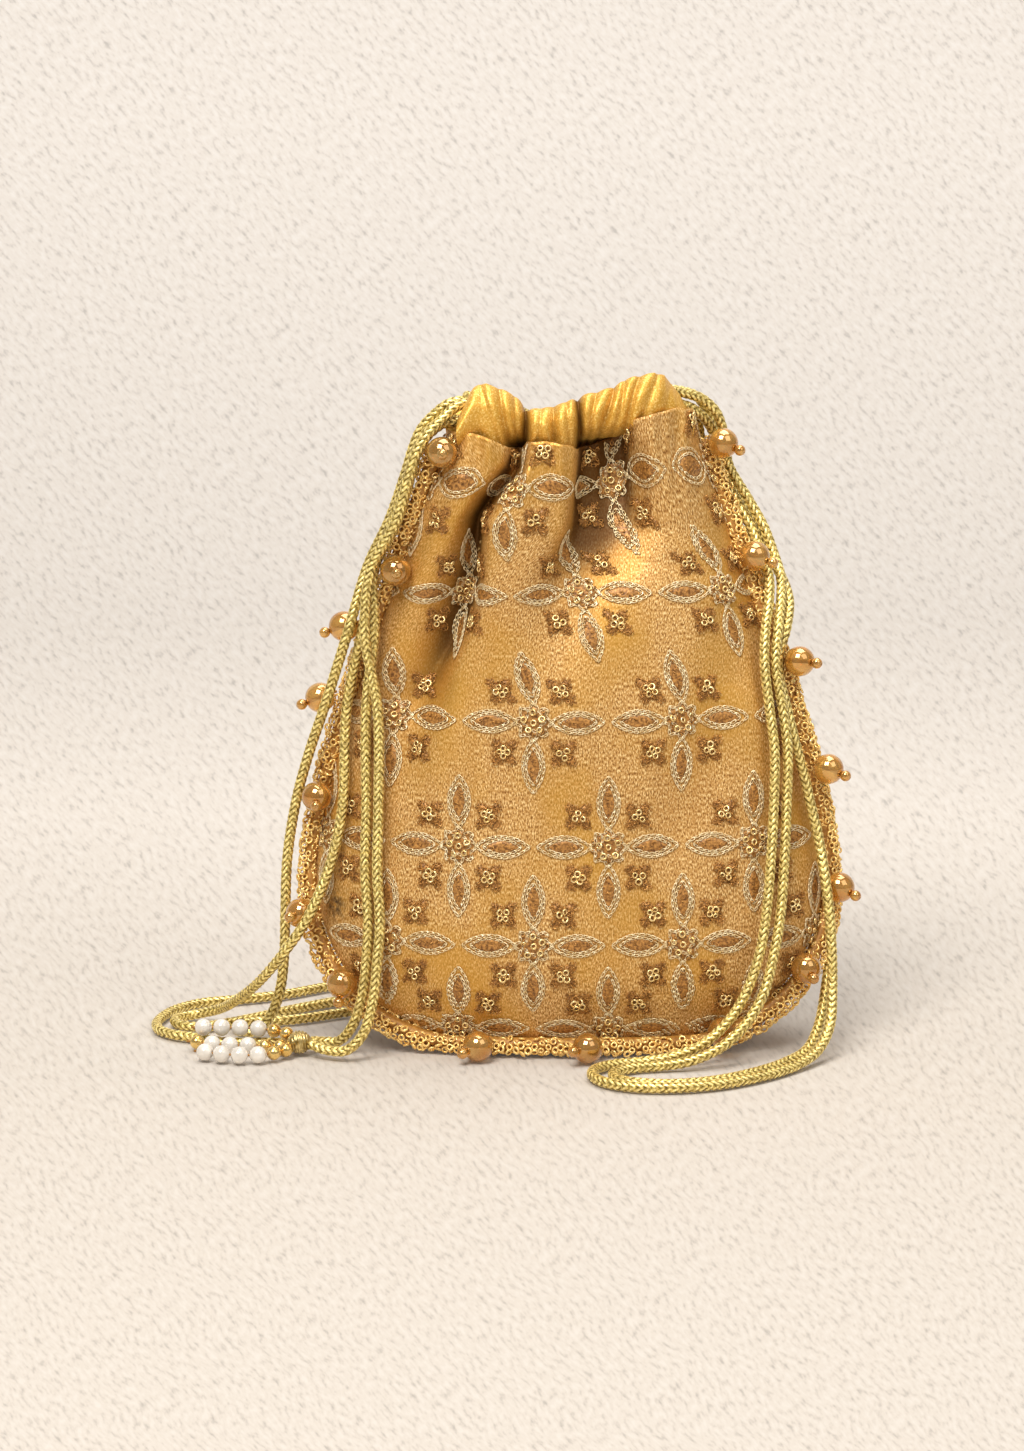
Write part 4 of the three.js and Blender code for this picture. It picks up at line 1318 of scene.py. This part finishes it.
@dataclass
class Edging:
    """Seed beads sewn thickly round the side seams and the front of the base."""

    form: PouchForm
    radius: float = 2.7
    gap: float = 0.3
    floor_play: float = 0.2
    base_stand: float = 1.35
    around: int = 6
    reach: tuple[float, float] = (2.0, 2.9)
    lowest: float = 1.5
    inner_rows: tuple[tuple[float, float], ...] = ((0.6, -1.7), (0.95, -1.0))
    core_radius: float = 2.3
    heights: tuple[float, ...] = (
        187 / 193, 0.89, 0.79, 0.69, 0.58, 0.47, 0.36, 0.27, 0.19, 0.12, 0.07, 0.035, 0.012)

    def outward(self, side: int, z: float) -> tuple[np.ndarray, float]:
        """Way out of the seam, and how much the seam runs under there."""
        pair = self.form.sections(np.array([max(z - 0.5, 0.0), z + 0.5]))[:, 0]
        slope = pair[1] - pair[0]
        under = min(max(slope / math.hypot(1, slope), 0.0), 1.0)
        turn = float(self.form.turn(np.array([z]))[0])
        sideways = side * math.sqrt(1 - under * under)
        way = np.array([sideways * math.cos(turn), sideways * math.sin(turn) - under, 0.0])
        return unit(way), under

    def beside_seam(self, side: int, z: float) -> np.ndarray:
        """Middle of the edging beside a side seam."""
        width, _, _, seam = self.form.sections(np.array([z]))[0]
        x, y = self.form.turned(np.array([side * width]), np.array([seam]), np.array([z]))
        way, under = self.outward(side, z)
        place = np.array([x[0], y[0], z]) + way * (self.radius + self.gap) * (1 + 1.3 * under)
        place[2] = max(place[2] - 0.4 * under * self.radius, self.radius + self.floor_play)
        return place

    def along_base(self, share: float) -> np.ndarray:
        """Middle of the edging along the front of the base."""
        z = self.radius + self.floor_play
        low = self.form.sections(np.array([0.0]))[0, 0]
        width, front, _, seam = self.form.sections(np.array([z]))[0]
        sine = share * low / width
        y = seam - front * math.sqrt(1 - sine * sine) - self.base_stand * (self.radius + self.gap)
        return np.array([share * low, y, z])

    def line(self) -> np.ndarray:
        """The edging's middle line from the left top to the right top."""
        levels = [share * self.form.height for share in self.heights]
        left = [self.beside_seam(-1, z) for z in levels]
        right = [self.beside_seam(1, z) for z in reversed(levels)]
        base = [self.along_base(share) for share in (-0.75, -0.25, 0.25, 0.75)]
        return smooth_route([tuple(p) for p in left + base + right], 2.0)

    def build(self, finishes: Finishes, panel: ClothPanel) -> list[bpy.types.Object]:
        """Make the seed rings and the thread core under them.

        Args:
            finishes: All finishes.
            panel: The front half of the bag, that the inner rings lie against.

        Returns:
            The finished pieces.
        """
        pick = random.Random(21)
        line = self.line()
        tangents, first, second = carried_frames(line)
        spots, facing = [], []
        cloth = panel.fine.reshape(-1, 3)
        toward = np.array([cloth[np.linalg.norm(cloth - middle, axis=1).argmin()] - middle for middle in line])
        for i, (middle, ahead) in enumerate(zip(line, tangents)):
            for k in range(self.around):
                angle = 2 * math.pi * (k + 0.5 * (i % 2) + pick.uniform(-0.2, 0.2)) / self.around
                out = first[i] * math.cos(angle) + second[i] * math.sin(angle)
                spots.append(middle + out * pick.uniform(*self.reach) + ahead * pick.uniform(-0.35, 0.35))
                facing.append(out + [pick.gauss(0, 0.38) for _ in range(3)])
            for share, forward in self.inner_rows:
                spots.append(middle + toward[i] * share + ahead * pick.uniform(-0.7, 0.7) + (0.0, forward, 0.0))
                facing.append(np.array([pick.gauss(0, 0.4), -1.0, pick.gauss(0.3, 0.4)]))
        places = np.array(spots)
        places[:, 2] = np.maximum(places[:, 2], self.lowest)
        along = np.array([[pick.gauss(0, 1) for _ in range(3)] for _ in spots])
        size = np.array([pick.uniform(0.85, 1.15) for _ in spots])
        seeds = RingTree("seed_ring", 9, 5).scatter(
            "seed_edging", places, np.array(facing), along, size, finishes.seed, 0.92, 0.36)
        seat(seeds, "seed_beads", "beaded_edging")
        core = Tube(line + 0.42 * toward, self.core_radius, 12).piece("edging_thread", finishes.core)
        seat(core, "seed_beads")
        return [seeds, core]


@dataclass
class Tube:
    """A round tube along a line, with a plait's herringbone that may run over its surface."""

    line: np.ndarray
    radius: float
    sides: int = 28
    lanes: int = 3

    def rings(self, relief: float = 0.0, rib: float = 2.1) -> tuple[np.ndarray, np.ndarray]:
        """Points of the tube, and how high each stands in the relief.

        Args:
            relief: Depth of the plait's grooves as a share of the radius.
            rib: Distance from rib to rib along the tube.

        Returns:
            Points ring by ring, and their heights from 0 to 1.
        """
        _, first, second = carried_frames(self.line)
        run = run_along(self.line)
        angle = full_turn(self.sides)
        lane = np.abs(angle * self.lanes / (2 * math.pi) % 1.0 - 0.5) * 2
        phase = math.pi * (run[:, None] / rib + 0.95 * lane[None])
        height = np.abs(np.cos(phase)) ** 0.75 * (0.7 + 0.3 * np.sin(math.pi * lane))
        reach = self.radius * (1 - relief * (1 - height))
        points = (self.line[:, None] + first[:, None] * (reach * np.cos(angle))[:, :, None]
                  + second[:, None] * (reach * np.sin(angle))[:, :, None])
        return points, height

    def piece(self, name: str, finish: bpy.types.Material, relief: float = 0.0) -> bpy.types.Object:
        """Make the tube with closed ends.

        Args:
            name: Name of the piece.
            finish: Its material.
            relief: Depth of the plait's grooves.

        Returns:
            The piece, not yet seated.
        """
        points, height = self.rings(relief)
        count = len(points)
        run = np.repeat(np.linspace(0, 1, count)[:, None], self.sides, axis=1)
        uv = np.stack([run, height], axis=2).reshape(-1, 2)
        return make_piece(name, points.reshape(-1, 3), capped_faces(count, self.sides), finish, uv)


class FarEnd(Enum):
    """What a free cord ends in."""

    CASING = "object"
    TASSEL = "fitting"
    KNOT = "knot"


@dataclass(frozen=True)
class CordRoute:
    """A free cord: its name, what its far end is, and the points that it follows in millimetres."""

    name: str
    far_end: FarEnd
    points: tuple[Point, ...]


CORD_ROUTES = (
    CordRoute("left_cord_loop", FarEnd.CASING, (
        (-29, -3.1, 202.6), (-32.5, -6.8, 202.5), (-37.4, -8.6, 200.6), (-42, -8.6, 196.8),
        (-45.9, -8.5, 192.4), (-48.4, -8.5, 186.6), (-50.4, -8.8, 180), (-55.6, -7.5, 165),
        (-62.6, -6.2, 150), (-68.4, -10.8, 131), (-76, -8.9, 107), (-81.4, -5.2, 91), (-85.5, -4, 76),
        (-88.4, -5.5, 58), (-89, -8.4, 42), (-89.4, -10.4, 28), (-91, -9.4, 16), (-94.4, -7, 7),
        (-99, -5.6, 2.1), (-104, -3.4, 1.8), (-105.4, 2.4, 1.8), (-100.6, 6.6, 1.8), (-92, 8.4, 1.8),
        (-82.6, 12.4, 1.8), (-72, 19, 1.8), (-60, 24, 1.8), (-50.5, 29, 1.8), (-47.5, 36.5, 1.8),
        (-53, 42.6, 1.8), (-63, 41.4, 1.8), (-74.9, 33.6, 1.8), (-86.8, 24.4, 1.8), (-100, 12.4, 1.8),
        (-109.6, 4.6, 1.8), (-117, 0.4, 1.8), (-124, 3.6, 1.8), (-125.6, 10.4, 1.8), (-120.4, 15.6, 1.9),
        (-112.4, 12.4, 4.4), (-104.6, -3.4, 12), (-96.6, -15.4, 21), (-88.6, -21, 31.5), (-81.5, -20.9, 42),
        (-74.5, -16.9, 58), (-70.6, -14.6, 76), (-69.2, -9.4, 107), (-64.2, -9, 131), (-60.2, -9.4, 150),
        (-54.7, -11.1, 165), (-49.4, -12.4, 180), (-47.3, -12, 186.6), (-43.8, -11.2, 192.1),
        (-39, -10, 195.2), (-32.5, -6.8, 195.2), (-29, -3.1, 195.2))),
    CordRoute("left_cord_end_1", FarEnd.TASSEL, (
        (-25.2, -14.9, 195.2), (-30.3, -13.6, 195.2), (-38.2, -14.6, 195.1), (-43, -15.7, 192),
        (-46.9, -16.5, 186.6), (-48.8, -16.8, 180), (-53.2, -15.6, 165), (-60.4, -13.3, 150),
        (-60.4, -13.4, 131), (-63, -14, 107), (-63, -19.6, 76), (-63.3, -23.8, 58), (-62.4, -26.6, 42),
        (-63, -28.2, 30), (-64.4, -28.8, 19), (-67.4, -27.4, 9.6), (-71.8, -24.8, 4), (-76, -23.6, 3.4),
        (-80.45, -25.1, 4))),
    CordRoute("left_cord_end_2", FarEnd.TASSEL, (
        (-25.2, -14.9, 202.6), (-30.3, -13.6, 202.5), (-34.6, -14.9, 200.4), (-38.6, -17.1, 196.9),
        (-43, -19.4, 192.6), (-46.8, -20.3, 187), (-49, -20.4, 180.5), (-53.6, -19.4, 165), (-58, -18, 157),
        (-61.3, -17, 150), (-63.2, -17, 131), (-59.4, -17.4, 107), (-59.2, -22.4, 76), (-59.5, -26.2, 58),
        (-58.7, -28.8, 42), (-59.6, -31.2, 30), (-60.9, -33, 18.5), (-64, -34.2, 8.5), (-69, -34.4, 3.6),
        (-74.6, -32.4, 3), (-80.45, -28.9, 4))),
    CordRoute("left_cord_tail", FarEnd.KNOT, (
        (-84.4, -23, 3), (-87, -19.4, 1.8), (-93, -18.4, 1.8), (-101, -18.8, 1.8), (-109, -17.6, 1.8),
        (-117, -12.8, 1.8), (-124.6, -8.8, 1.8), (-129.6, -3, 1.8), (-131.2, 5, 1.8), (-130, 14, 1.8),
        (-126.4, 23, 1.8), (-119, 31, 1.8), (-108, 35.4, 1.8), (-93.4, 42, 1.8), (-79, 53, 1.8),
        (-66, 61, 1.8), (-52, 63.5, 1.8))),
    CordRoute("right_cord_loop_outer", FarEnd.CASING, (
        (29, 3.1, 198.9), (32.5, 6.8, 198.9), (37.4, 10.2, 197.4), (41.8, 13.8, 193.8), (45, 17.6, 188.4),
        (45.5, 18.6, 180), (51.9, 16.4, 168), (56.6, 13.4, 160), (59.8, 9.2, 152), (61.9, 4, 145),
        (61.6, -1.6, 138), (60.2, -7, 130), (59.8, -11, 120), (61.4, -14, 106), (62.8, -17, 94),
        (62.4, -21.2, 76), (61.4, -25.2, 60), (60, -28.6, 45), (57.8, -31.6, 33), (53.4, -34.2, 21),
        (47, -36.8, 12), (39.6, -39.2, 6.4), (30, -40.4, 3), (21, -41.6, 1.9), (12.6, -44.4, 1.8),
        (7.2, -50, 1.8), (6.2, -57.2, 1.8), (9.8, -64.4, 1.8), (18, -69.4, 1.8), (30, -70.4, 1.8),
        (44, -66.6, 1.8), (58, -57, 1.8), (69, -45.4, 2), (76, -36.6, 4.4), (80, -29.8, 10.4),
        (81, -24.8, 20), (80.8, -21.2, 35), (79.5, -18, 50), (77, -12.6, 66), (74.6, -11, 76),
        (72.2, -10, 86.5), (70, -10.4, 94), (67, -8.5, 106), (64.3, -4.8, 120), (67, -2.1, 130),
        (68.2, 4.2, 138), (66, 10, 145), (62, 13.9, 152), (57.7, 17.2, 160), (52.9, 20, 168),
        (47.2, 21.9, 179.5), (45.8, 20.9, 187), (43.6, 19.2, 194), (40, 16.8, 200), (35.6, 14.6, 204.4),
        (30.3, 13.6, 206.2), (25.2, 14.9, 206.3))),
    CordRoute("right_cord_loop_inner", FarEnd.CASING, (
        (29, 3.1, 206.3), (32.5, 6.8, 206.2), (36.6, 9.4, 204), (40.8, 11.4, 200.2), (45.3, 13, 196),
        (48.4, 15.9, 187.6), (49.8, 17, 179), (56.2, 15.4, 168), (60.7, 12.6, 160), (63.7, 9.6, 152),
        (65.7, 5.3, 145), (65.4, -0.2, 138), (64.3, -5.4, 130), (63.4, -9, 120), (65.6, -11.8, 106),
        (67, -14.6, 94), (66.6, -18.4, 76), (65.8, -23, 60), (64.6, -26.8, 45), (62.4, -30.8, 33),
        (58.8, -35.2, 21), (52.6, -39.2, 12), (45.2, -42.6, 6.4), (36, -45, 3), (27, -46.2, 1.9),
        (20, -47.8, 1.8), (14.4, -51.2, 1.8), (12.4, -56.4, 1.8), (14.6, -61.8, 1.8), (20.6, -65.2, 1.8),
        (30, -66.2, 1.8), (42.6, -62.6, 1.8), (55.2, -53.6, 1.8), (65.6, -42.4, 2), (72.8, -33.4, 3.6),
        (77, -25, 9), (79.6, -16.6, 18), (81.6, -8, 29), (83.2, 1.4, 42), (83.8, 4.6, 54), (80.8, 6, 76),
        (75.8, 6.6, 94), (70.4, 7.2, 110), (65.8, 9.2, 125), (61.4, 10.8, 138), (57.5, 13.8, 152),
        (52.7, 16.9, 160), (47.8, 18.9, 168), (41.9, 19.6, 179), (41, 19.2, 187), (39.6, 17.4, 193),
        (36, 14.9, 197.2), (30.3, 13.6, 198.9), (25.2, 14.9, 198.9))),
)


@dataclass
class Drawcords:
    """The plaited cords: free ones outside, and the runs inside the casing."""

    form: PouchForm
    diameter: float = 3.4
    step: float = 0.45
    relief: float = 0.27
    press_level: float = 200.0
    press: float = 0.45
    run_names: tuple[str, ...] = (
        "left_cord_run_lower", "right_cord_run_lower", "left_cord_run_upper", "right_cord_run_upper")
    run_low: float = 195.2
    run_step: float = 3.7
    run_end: float = math.radians(55)
    run_inset: tuple[float, float] = (4.8, 5.6)
    sleeve_floor: float = 193.0

    def build_free(self, finishes: Finishes, tassel: list[bpy.types.Object]) -> list[bpy.types.Object]:
        """Args:
            finishes: All finishes.
            tassel: Pieces that hang on the tassel's cords.

        Returns:
            The finished cords.
        """
        made = []
        for route in CORD_ROUTES:
            line = smooth_route([(x, y, self.drop(z)) for x, y, z in route.points], self.step)
            name = route.name.replace("cord", "braid")
            piece = Tube(line, self.diameter / 2).piece(name, finishes.braid, self.relief)
            seat(piece, "cord", route.name)
            riders = {"left_cord_end_1": tassel, "left_cord_end_2": tassel[:1]}.get(route.name, [])
            if route.far_end is FarEnd.KNOT:
                riders = [self.knot(line[-1], finishes)]
            made.append(piece)
        return made

    def drop(self, z: float) -> float:
        """Height of a cord at the casing, where the cloth presses the upper ones down."""
        return min(z, self.press_level + self.press * (z - self.press_level))

    def knot(self, middle: np.ndarray, finishes: Finishes) -> bpy.types.Object:
        """A small overhand knot at the tail's end."""
        turn = np.linspace(0, 2 * math.pi, 60)
        line = np.stack([middle[0] + 1.2 + 1.5 * (np.sin(turn) + 1.3 * np.sin(2 * turn)) * 0.6,
                         middle[1] + 1.5 * (np.cos(turn) - 1.3 * np.cos(2 * turn)) * 0.6,
                         3.0 - 0.9 * np.sin(3 * turn)], axis=1)
        piece = Tube(line, 1.5, 10).piece("tail_knot", finishes.braid, self.relief)
        return seat(piece, "cord")

    def build_runs(self, finishes: Finishes, front: Casing, back: Casing) -> None:
        """Make the runs inside the casing, drawn in where the sleeve is.

        Args:
            finishes: All finishes.
            front: The front half of the sleeve.
            back: The back half.
        """
        for level, name in enumerate(self.run_names):
            z = self.drop(self.run_low + self.run_step * level)
            side = -1 if name.startswith("left") else 1
            angle = side * (self.run_end - np.linspace(0, math.pi + 2 * self.run_end, 260))
            width, fore, aft, seam = self.form.sections(np.array([z]))[0]
            depth = np.where(np.cos(angle) > 0, fore, aft) - self.run_inset[1]
            x = (width - self.run_inset[0]) * np.sin(angle)
            y = seam - depth * np.cos(angle)
            high = np.full_like(x, z)
            wide, deep = self.form.turned(x, y, high)
            for casing, facing in ((front, np.cos(angle)), (back, -np.cos(angle))):
                near = smooth_step(facing, 0.1, 0.5)
                drawn = casing.held * casing.push(wide, facing) + casing.pinch(wide, 0.5, 1.7)
                deep = deep - casing.panel.side.value * drawn * near
                room = (casing.crown(wide) - self.sleeve_floor) / (casing.full_crown - self.sleeve_floor)
                high = high - (1 - np.clip(room, 0.3, 1.0)) * (high - self.sleeve_floor) * near
            tube = Tube(smooth_route(list(zip(wide, deep, high)), 2 * self.step), self.diameter / 2, 10)
            seat(tube.piece(name.replace("cord", "braid"), finishes.braid, self.relief), "cord", name)


@dataclass
class BeadShape:
    """A shape turned about an axis, such as a ball with a hole."""

    sides: int = 28

    def turned(self, profile: list[tuple[float, float]], middle: np.ndarray, axis: np.ndarray
               ) -> tuple[np.ndarray, list]:
        """Turn a profile of radius and height about an axis.

        Args:
            profile: Radius and height pairs from one end to the other.
            middle: Where height 0 lies.
            axis: Unit direction of the axis.

        Returns:
            Points and faces.
        """
        helper = np.array([0.0, 0.0, 1.0]) if abs(axis[2]) < 0.9 else np.array([1.0, 0.0, 0.0])
        one = unit(np.cross(axis, helper))
        two = np.cross(axis, one)
        angle = full_turn(self.sides)
        circle = one[None] * np.cos(angle)[:, None] + two[None] * np.sin(angle)[:, None]
        points = np.vstack([middle + axis * h + circle * r for r, h in profile])
        return points, capped_faces(len(profile), self.sides)

    @staticmethod
    def ball(radius: float, hole: float, count: int = 16) -> list[tuple[float, float]]:
        """Profile of a ball with a dimple at each end of its hole."""
        start = math.asin(hole / radius)
        turn = np.linspace(start, math.pi - start, count)
        arc = [(radius * math.sin(a), -radius * math.cos(a)) for a in turn]
        return [(hole * 0.6, arc[0][1] + radius * 0.1)] + arc + [(hole * 0.6, arc[-1][1] - radius * 0.1)]


def add_parts(name: str, parts: list[tuple[np.ndarray, list, bpy.types.Material]]) -> bpy.types.Object:
    """Join several shapes with their own finishes into one piece.

    Args:
        name: Name of the piece.
        parts: Points, faces and finish of each shape.

    Returns:
        The piece, not yet seated.
    """
    points, faces, slots, finishes = [], [], [], []
    first = 0
    for place, shape, finish in parts:
        if finish not in finishes:
            finishes.append(finish)
        points.append(place)
        faces += [tuple(first + i for i in face) for face in shape]
        slots += [finishes.index(finish)] * len(shape)
        first += len(place)
    piece = make_piece(name, np.vstack(points), faces, finishes[0])
    for finish in finishes[1:]:
        piece.data.materials.append(finish)
    piece.data.polygons.foreach_set("material_index", slots)
    return piece


@dataclass
class EdgeBeads:
    """The large translucent beads along the edging, each with a tip bead on its thread."""

    count: int = 16
    radius: float = 4.75
    tip: float = 1.75

    def place(self, node: str) -> tuple[np.ndarray, np.ndarray]:
        """Middle of a bead and the way that its tip points, from the bead's solid."""
        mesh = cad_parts[node].data
        corners = np.zeros(len(mesh.vertices) * 3)
        mesh.vertices.foreach_get("co", corners)
        corners = corners.reshape(-1, 3) / MM
        gaps = np.linalg.norm(corners[:, None] - corners[None], axis=2)
        a, b = np.unravel_index(gaps.argmax(), gaps.shape)
        tip, ball = sorted((corners[a], corners[b]), key=lambda p: np.linalg.norm(p - corners.mean(axis=0)))
        axis = unit(tip - ball)
        middle = ball + axis * self.radius
        middle[2] = max(middle[2], self.radius + 0.1)
        return middle, axis

    def build(self, finishes: Finishes) -> list[bpy.types.Object]:
        """Make every bead.

        Args:
            finishes: All finishes.

        Returns:
            The finished beads.
        """
        made = []
        shape, small = BeadShape(30), BeadShape(16)
        for i in range(1, self.count + 1):
            node = f"edge_bead_{i:02d}"
            middle, axis = self.place(node)
            reach = self.radius + self.tip - 0.25
            parts = [
                (*shape.turned(shape.ball(self.radius, 0.75), middle, axis), finishes.glass),
                (*small.turned([(0.42, -self.radius - 0.9), (0.42, reach)], middle, axis), finishes.core),
                (*small.turned(small.ball(self.tip, 0.5, 9), middle + axis * reach, axis), finishes.glass),
            ]
            piece = add_parts(f"champagne_bead_{i:02d}", parts)
            made.append(seat(piece, "edge_bead", node))
        return made


@dataclass
class Tassel:
    """The wrapped knob and its strings of pearls and gold beads."""

    knob_radius: float = 3.6
    pearls: int = 11
    golds: int = 7

    @staticmethod
    def middle(node: str) -> np.ndarray:
        """Middle of a bead's solid in millimetres."""
        low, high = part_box(node)
        return np.array((low + high) / 2) / MM

    def build(self, finishes: Finishes) -> list[bpy.types.Object]:
        """Make the knob, the beads and the threads.

        Args:
            finishes: All finishes.

        Returns:
            The finished pieces, the knob first.
        """
        knob = self.middle("tassel_knob")
        axis = unit(np.array([-0.96, -0.2, -0.1]))
        profile = []
        for a in np.linspace(0.12, math.pi - 0.12, 46):
            wrap = 1 + 0.05 * math.cos(a * 22)
            profile.append((self.knob_radius * math.sin(a) * wrap, -self.knob_radius * 1.06 * math.cos(a)))
        shape = BeadShape(24)
        pieces = [seat(add_parts("wrapped_knob", [(*shape.turned(profile, knob, axis), finishes.knob)]),
                       "gold_bead", "tassel_knob")]
        groups = (("tassel_pearl", self.pearls, 2.7, finishes.pearl, "pearl"),
                  ("tassel_gold_bead", self.golds, 2.2, finishes.gold, "gold_bead"))
        pick = random.Random(5)
        for stem, count, radius, finish, slot in groups:
            nodes = [f"{stem}_{i:02d}" for i in range(1, count + 1)]
            parts = []
            for node in nodes:
                lean = [pick.uniform(-most, most) for most in (0.2, 0.5, 0.3)]
                way = unit(np.array([-1.0, 0.0, 0.0]) + lean)
                ball = BeadShape(20).turned(BeadShape.ball(radius, 0.45, 13), self.middle(node), way)
                parts.append((*ball, finish))
            pieces.append(seat(add_parts(stem + "s", parts), slot, *nodes))
        pieces.append(self.threads(knob, finishes))
        return pieces

    def threads(self, knob: np.ndarray, finishes: Finishes) -> bpy.types.Object:
        """Make the amber threads that the beads are strung on."""
        strings = (("g1", "g2", "p1", "p2", "p3", "p4"), ("g3", "g4", "p5", "p6", "p7", "g5"),
                   ("g6", "g7", "p8", "p9", "p10", "p11"))
        parts = []
        for string in strings:
            stops = [tuple(knob)]
            for mark in string:
                stem = "tassel_gold_bead" if mark[0] == "g" else "tassel_pearl"
                stops.append(tuple(self.middle(f"{stem}_{int(mark[1:]):02d}")))
            last = np.array(stops[-1]) * 2 - np.array(stops[-2])
            stops.append(tuple(np.array(stops[-1]) * 0.35 + last * 0.65))
            rings, _ = Tube(smooth_route(stops, 1.2), 0.4, 6).rings()
            parts.append((rings.reshape(-1, 3), capped_faces(len(rings), 6), finishes.core))
        return seat(add_parts("tassel_threads", parts), "gold_bead")


@dataclass
class Stage:
    """Plaster floor and wall, soft lights and the camera."""

    camera_place: Point = (-18.1, -1116.28, 295.83)
    tilt: float = 80.0
    lens: float = 90.0
    map_lean: tuple[float, float] = (0.9848, 0.1736)
    map_far: float = 1150.7
    map_rise: float = 97.55
    map_scale: float = 3.5
    floor_level: float = -0.3
    floor_ends: tuple[float, float] = (-2600.0, 900.0)
    cove: float = 700.0
    wall_top: float = 3600.0
    half_width: float = 3200.0
    world_light: float = 0.26

    def seen_at(self, points: np.ndarray) -> np.ndarray:
        """Flat map of the stage that keeps the plaster's grain even over the picture."""
        level, steep = self.map_lean
        away = np.maximum(self.map_far + level * points[:, 1] - steep * points[:, 2], 120.0)
        across = (points[:, 0] - self.camera_place[0]) / away
        up = (steep * points[:, 1] + level * points[:, 2] - self.map_rise) / away
        return np.stack([across, up], axis=1) * self.map_scale

    def build(self) -> None:
        """Make the floor with its wall, the camera and the lights."""
        self.add_floor()
        camera = add_object("camera", bpy.data.cameras.new("camera"))
        camera.location = Vector(self.camera_place) * MM
        camera.rotation_euler = (math.radians(self.tilt), 0.0, 0.0)
        camera.data.lens = self.lens
        camera.data.sensor_width = 36.0
        camera.data.clip_start = 0.01
        camera.data.clip_end = 50.0
        self.lamp("key_lamp", (-420, -950, 1400), 0.8, 28.5, (1.0, 0.96, 0.90))
        self.lamp("fill_lamp", (850, -900, 1200), 1.0, 6.0, (1.0, 0.97, 0.93))
        self.lamp("top_lamp", (150, 150, 1300), 0.8, 10.0, (1.0, 0.97, 0.92))
        world = bpy.data.worlds.new("soft_room")
        world.use_nodes = True
        sky = world.node_tree.nodes["Background"].inputs
        sky["Color"].default_value = (1.0, 0.97, 0.93, 1.0)
        sky["Strength"].default_value = self.world_light
        scene = bpy.context.scene
        scene.camera = camera
        scene.world = world
        scene.view_settings.view_transform = "Standard"

    def add_floor(self) -> None:
        """Make the floor, the cove behind it and the wall as one sheet."""
        near, far = self.floor_ends
        profile = [(y, self.floor_level) for y in np.linspace(near, far, 60)]
        profile += [(far + self.cove * math.sin(a), self.floor_level + self.cove - self.cove * math.cos(a))
                    for a in np.linspace(0, math.pi / 2, 24)[1:]]
        profile += [(far + self.cove, z) for z in np.linspace(self.cove + 100, self.wall_top, 24)]
        x = np.linspace(-self.half_width, self.half_width, 80)
        points = np.array([(px, py, pz) for py, pz in profile for px in x])
        faces = grid_faces(len(profile), len(x))
        make_piece("plaster_floor", points, faces, PlasterFinish().material, self.seen_at(points))

    def lamp(self, name: str, place: Point, size: float, power: float, colour: Colour) -> None:
        """Add one square soft lamp that looks at the pouch.

        Args:
            name: Name of the lamp.
            place: Its place in millimetres.
            size: Its width in metres.
            power: Its power in watts.
            colour: Its colour.
        """
        light = bpy.data.lights.new(name, "AREA")
        light.size = size
        light.energy = power
        light.color = colour
        lamp = add_object(name, light)
        lamp.location = Vector(place) * MM
        aim = Vector((0, 0, 90)) * MM - lamp.location
        lamp.rotation_euler = aim.to_track_quat("-Z", "Y").to_euler()


def main() -> None:
    """Build the pouch and its stage, piece by piece."""
    logging.basicConfig(level=logging.INFO, format="%(name)s: %(message)s")
    Stage().build()
    finishes = Finishes()
    form = PouchForm()
    tassel = Tassel().build(finishes)
    cords = Drawcords(form)
    cords.build_free(finishes, tassel)
    front = ClothPanel(form, Side.FRONT)
    back = ClothPanel(form, Side.BACK)
    front.build(finishes.tissue, "front_panel")
    back.build(finishes.tissue, "back_panel")
    LiningBag(front, back).build(finishes.lining)
    front_casing, back_casing = Casing(form, front), Casing(form, back)
    front_casing.build(finishes.casing, "casing_front")
    back_casing.build(finishes.casing, "casing_back")
    cords.build_runs(finishes, front_casing, back_casing)
    Embroidery(front).build(finishes, "front")
    Embroidery(back).build(finishes, "back")
    Edging(form).build(finishes, front)
    EdgeBeads().build(finishes)


if __name__ == "__main__":
    main()
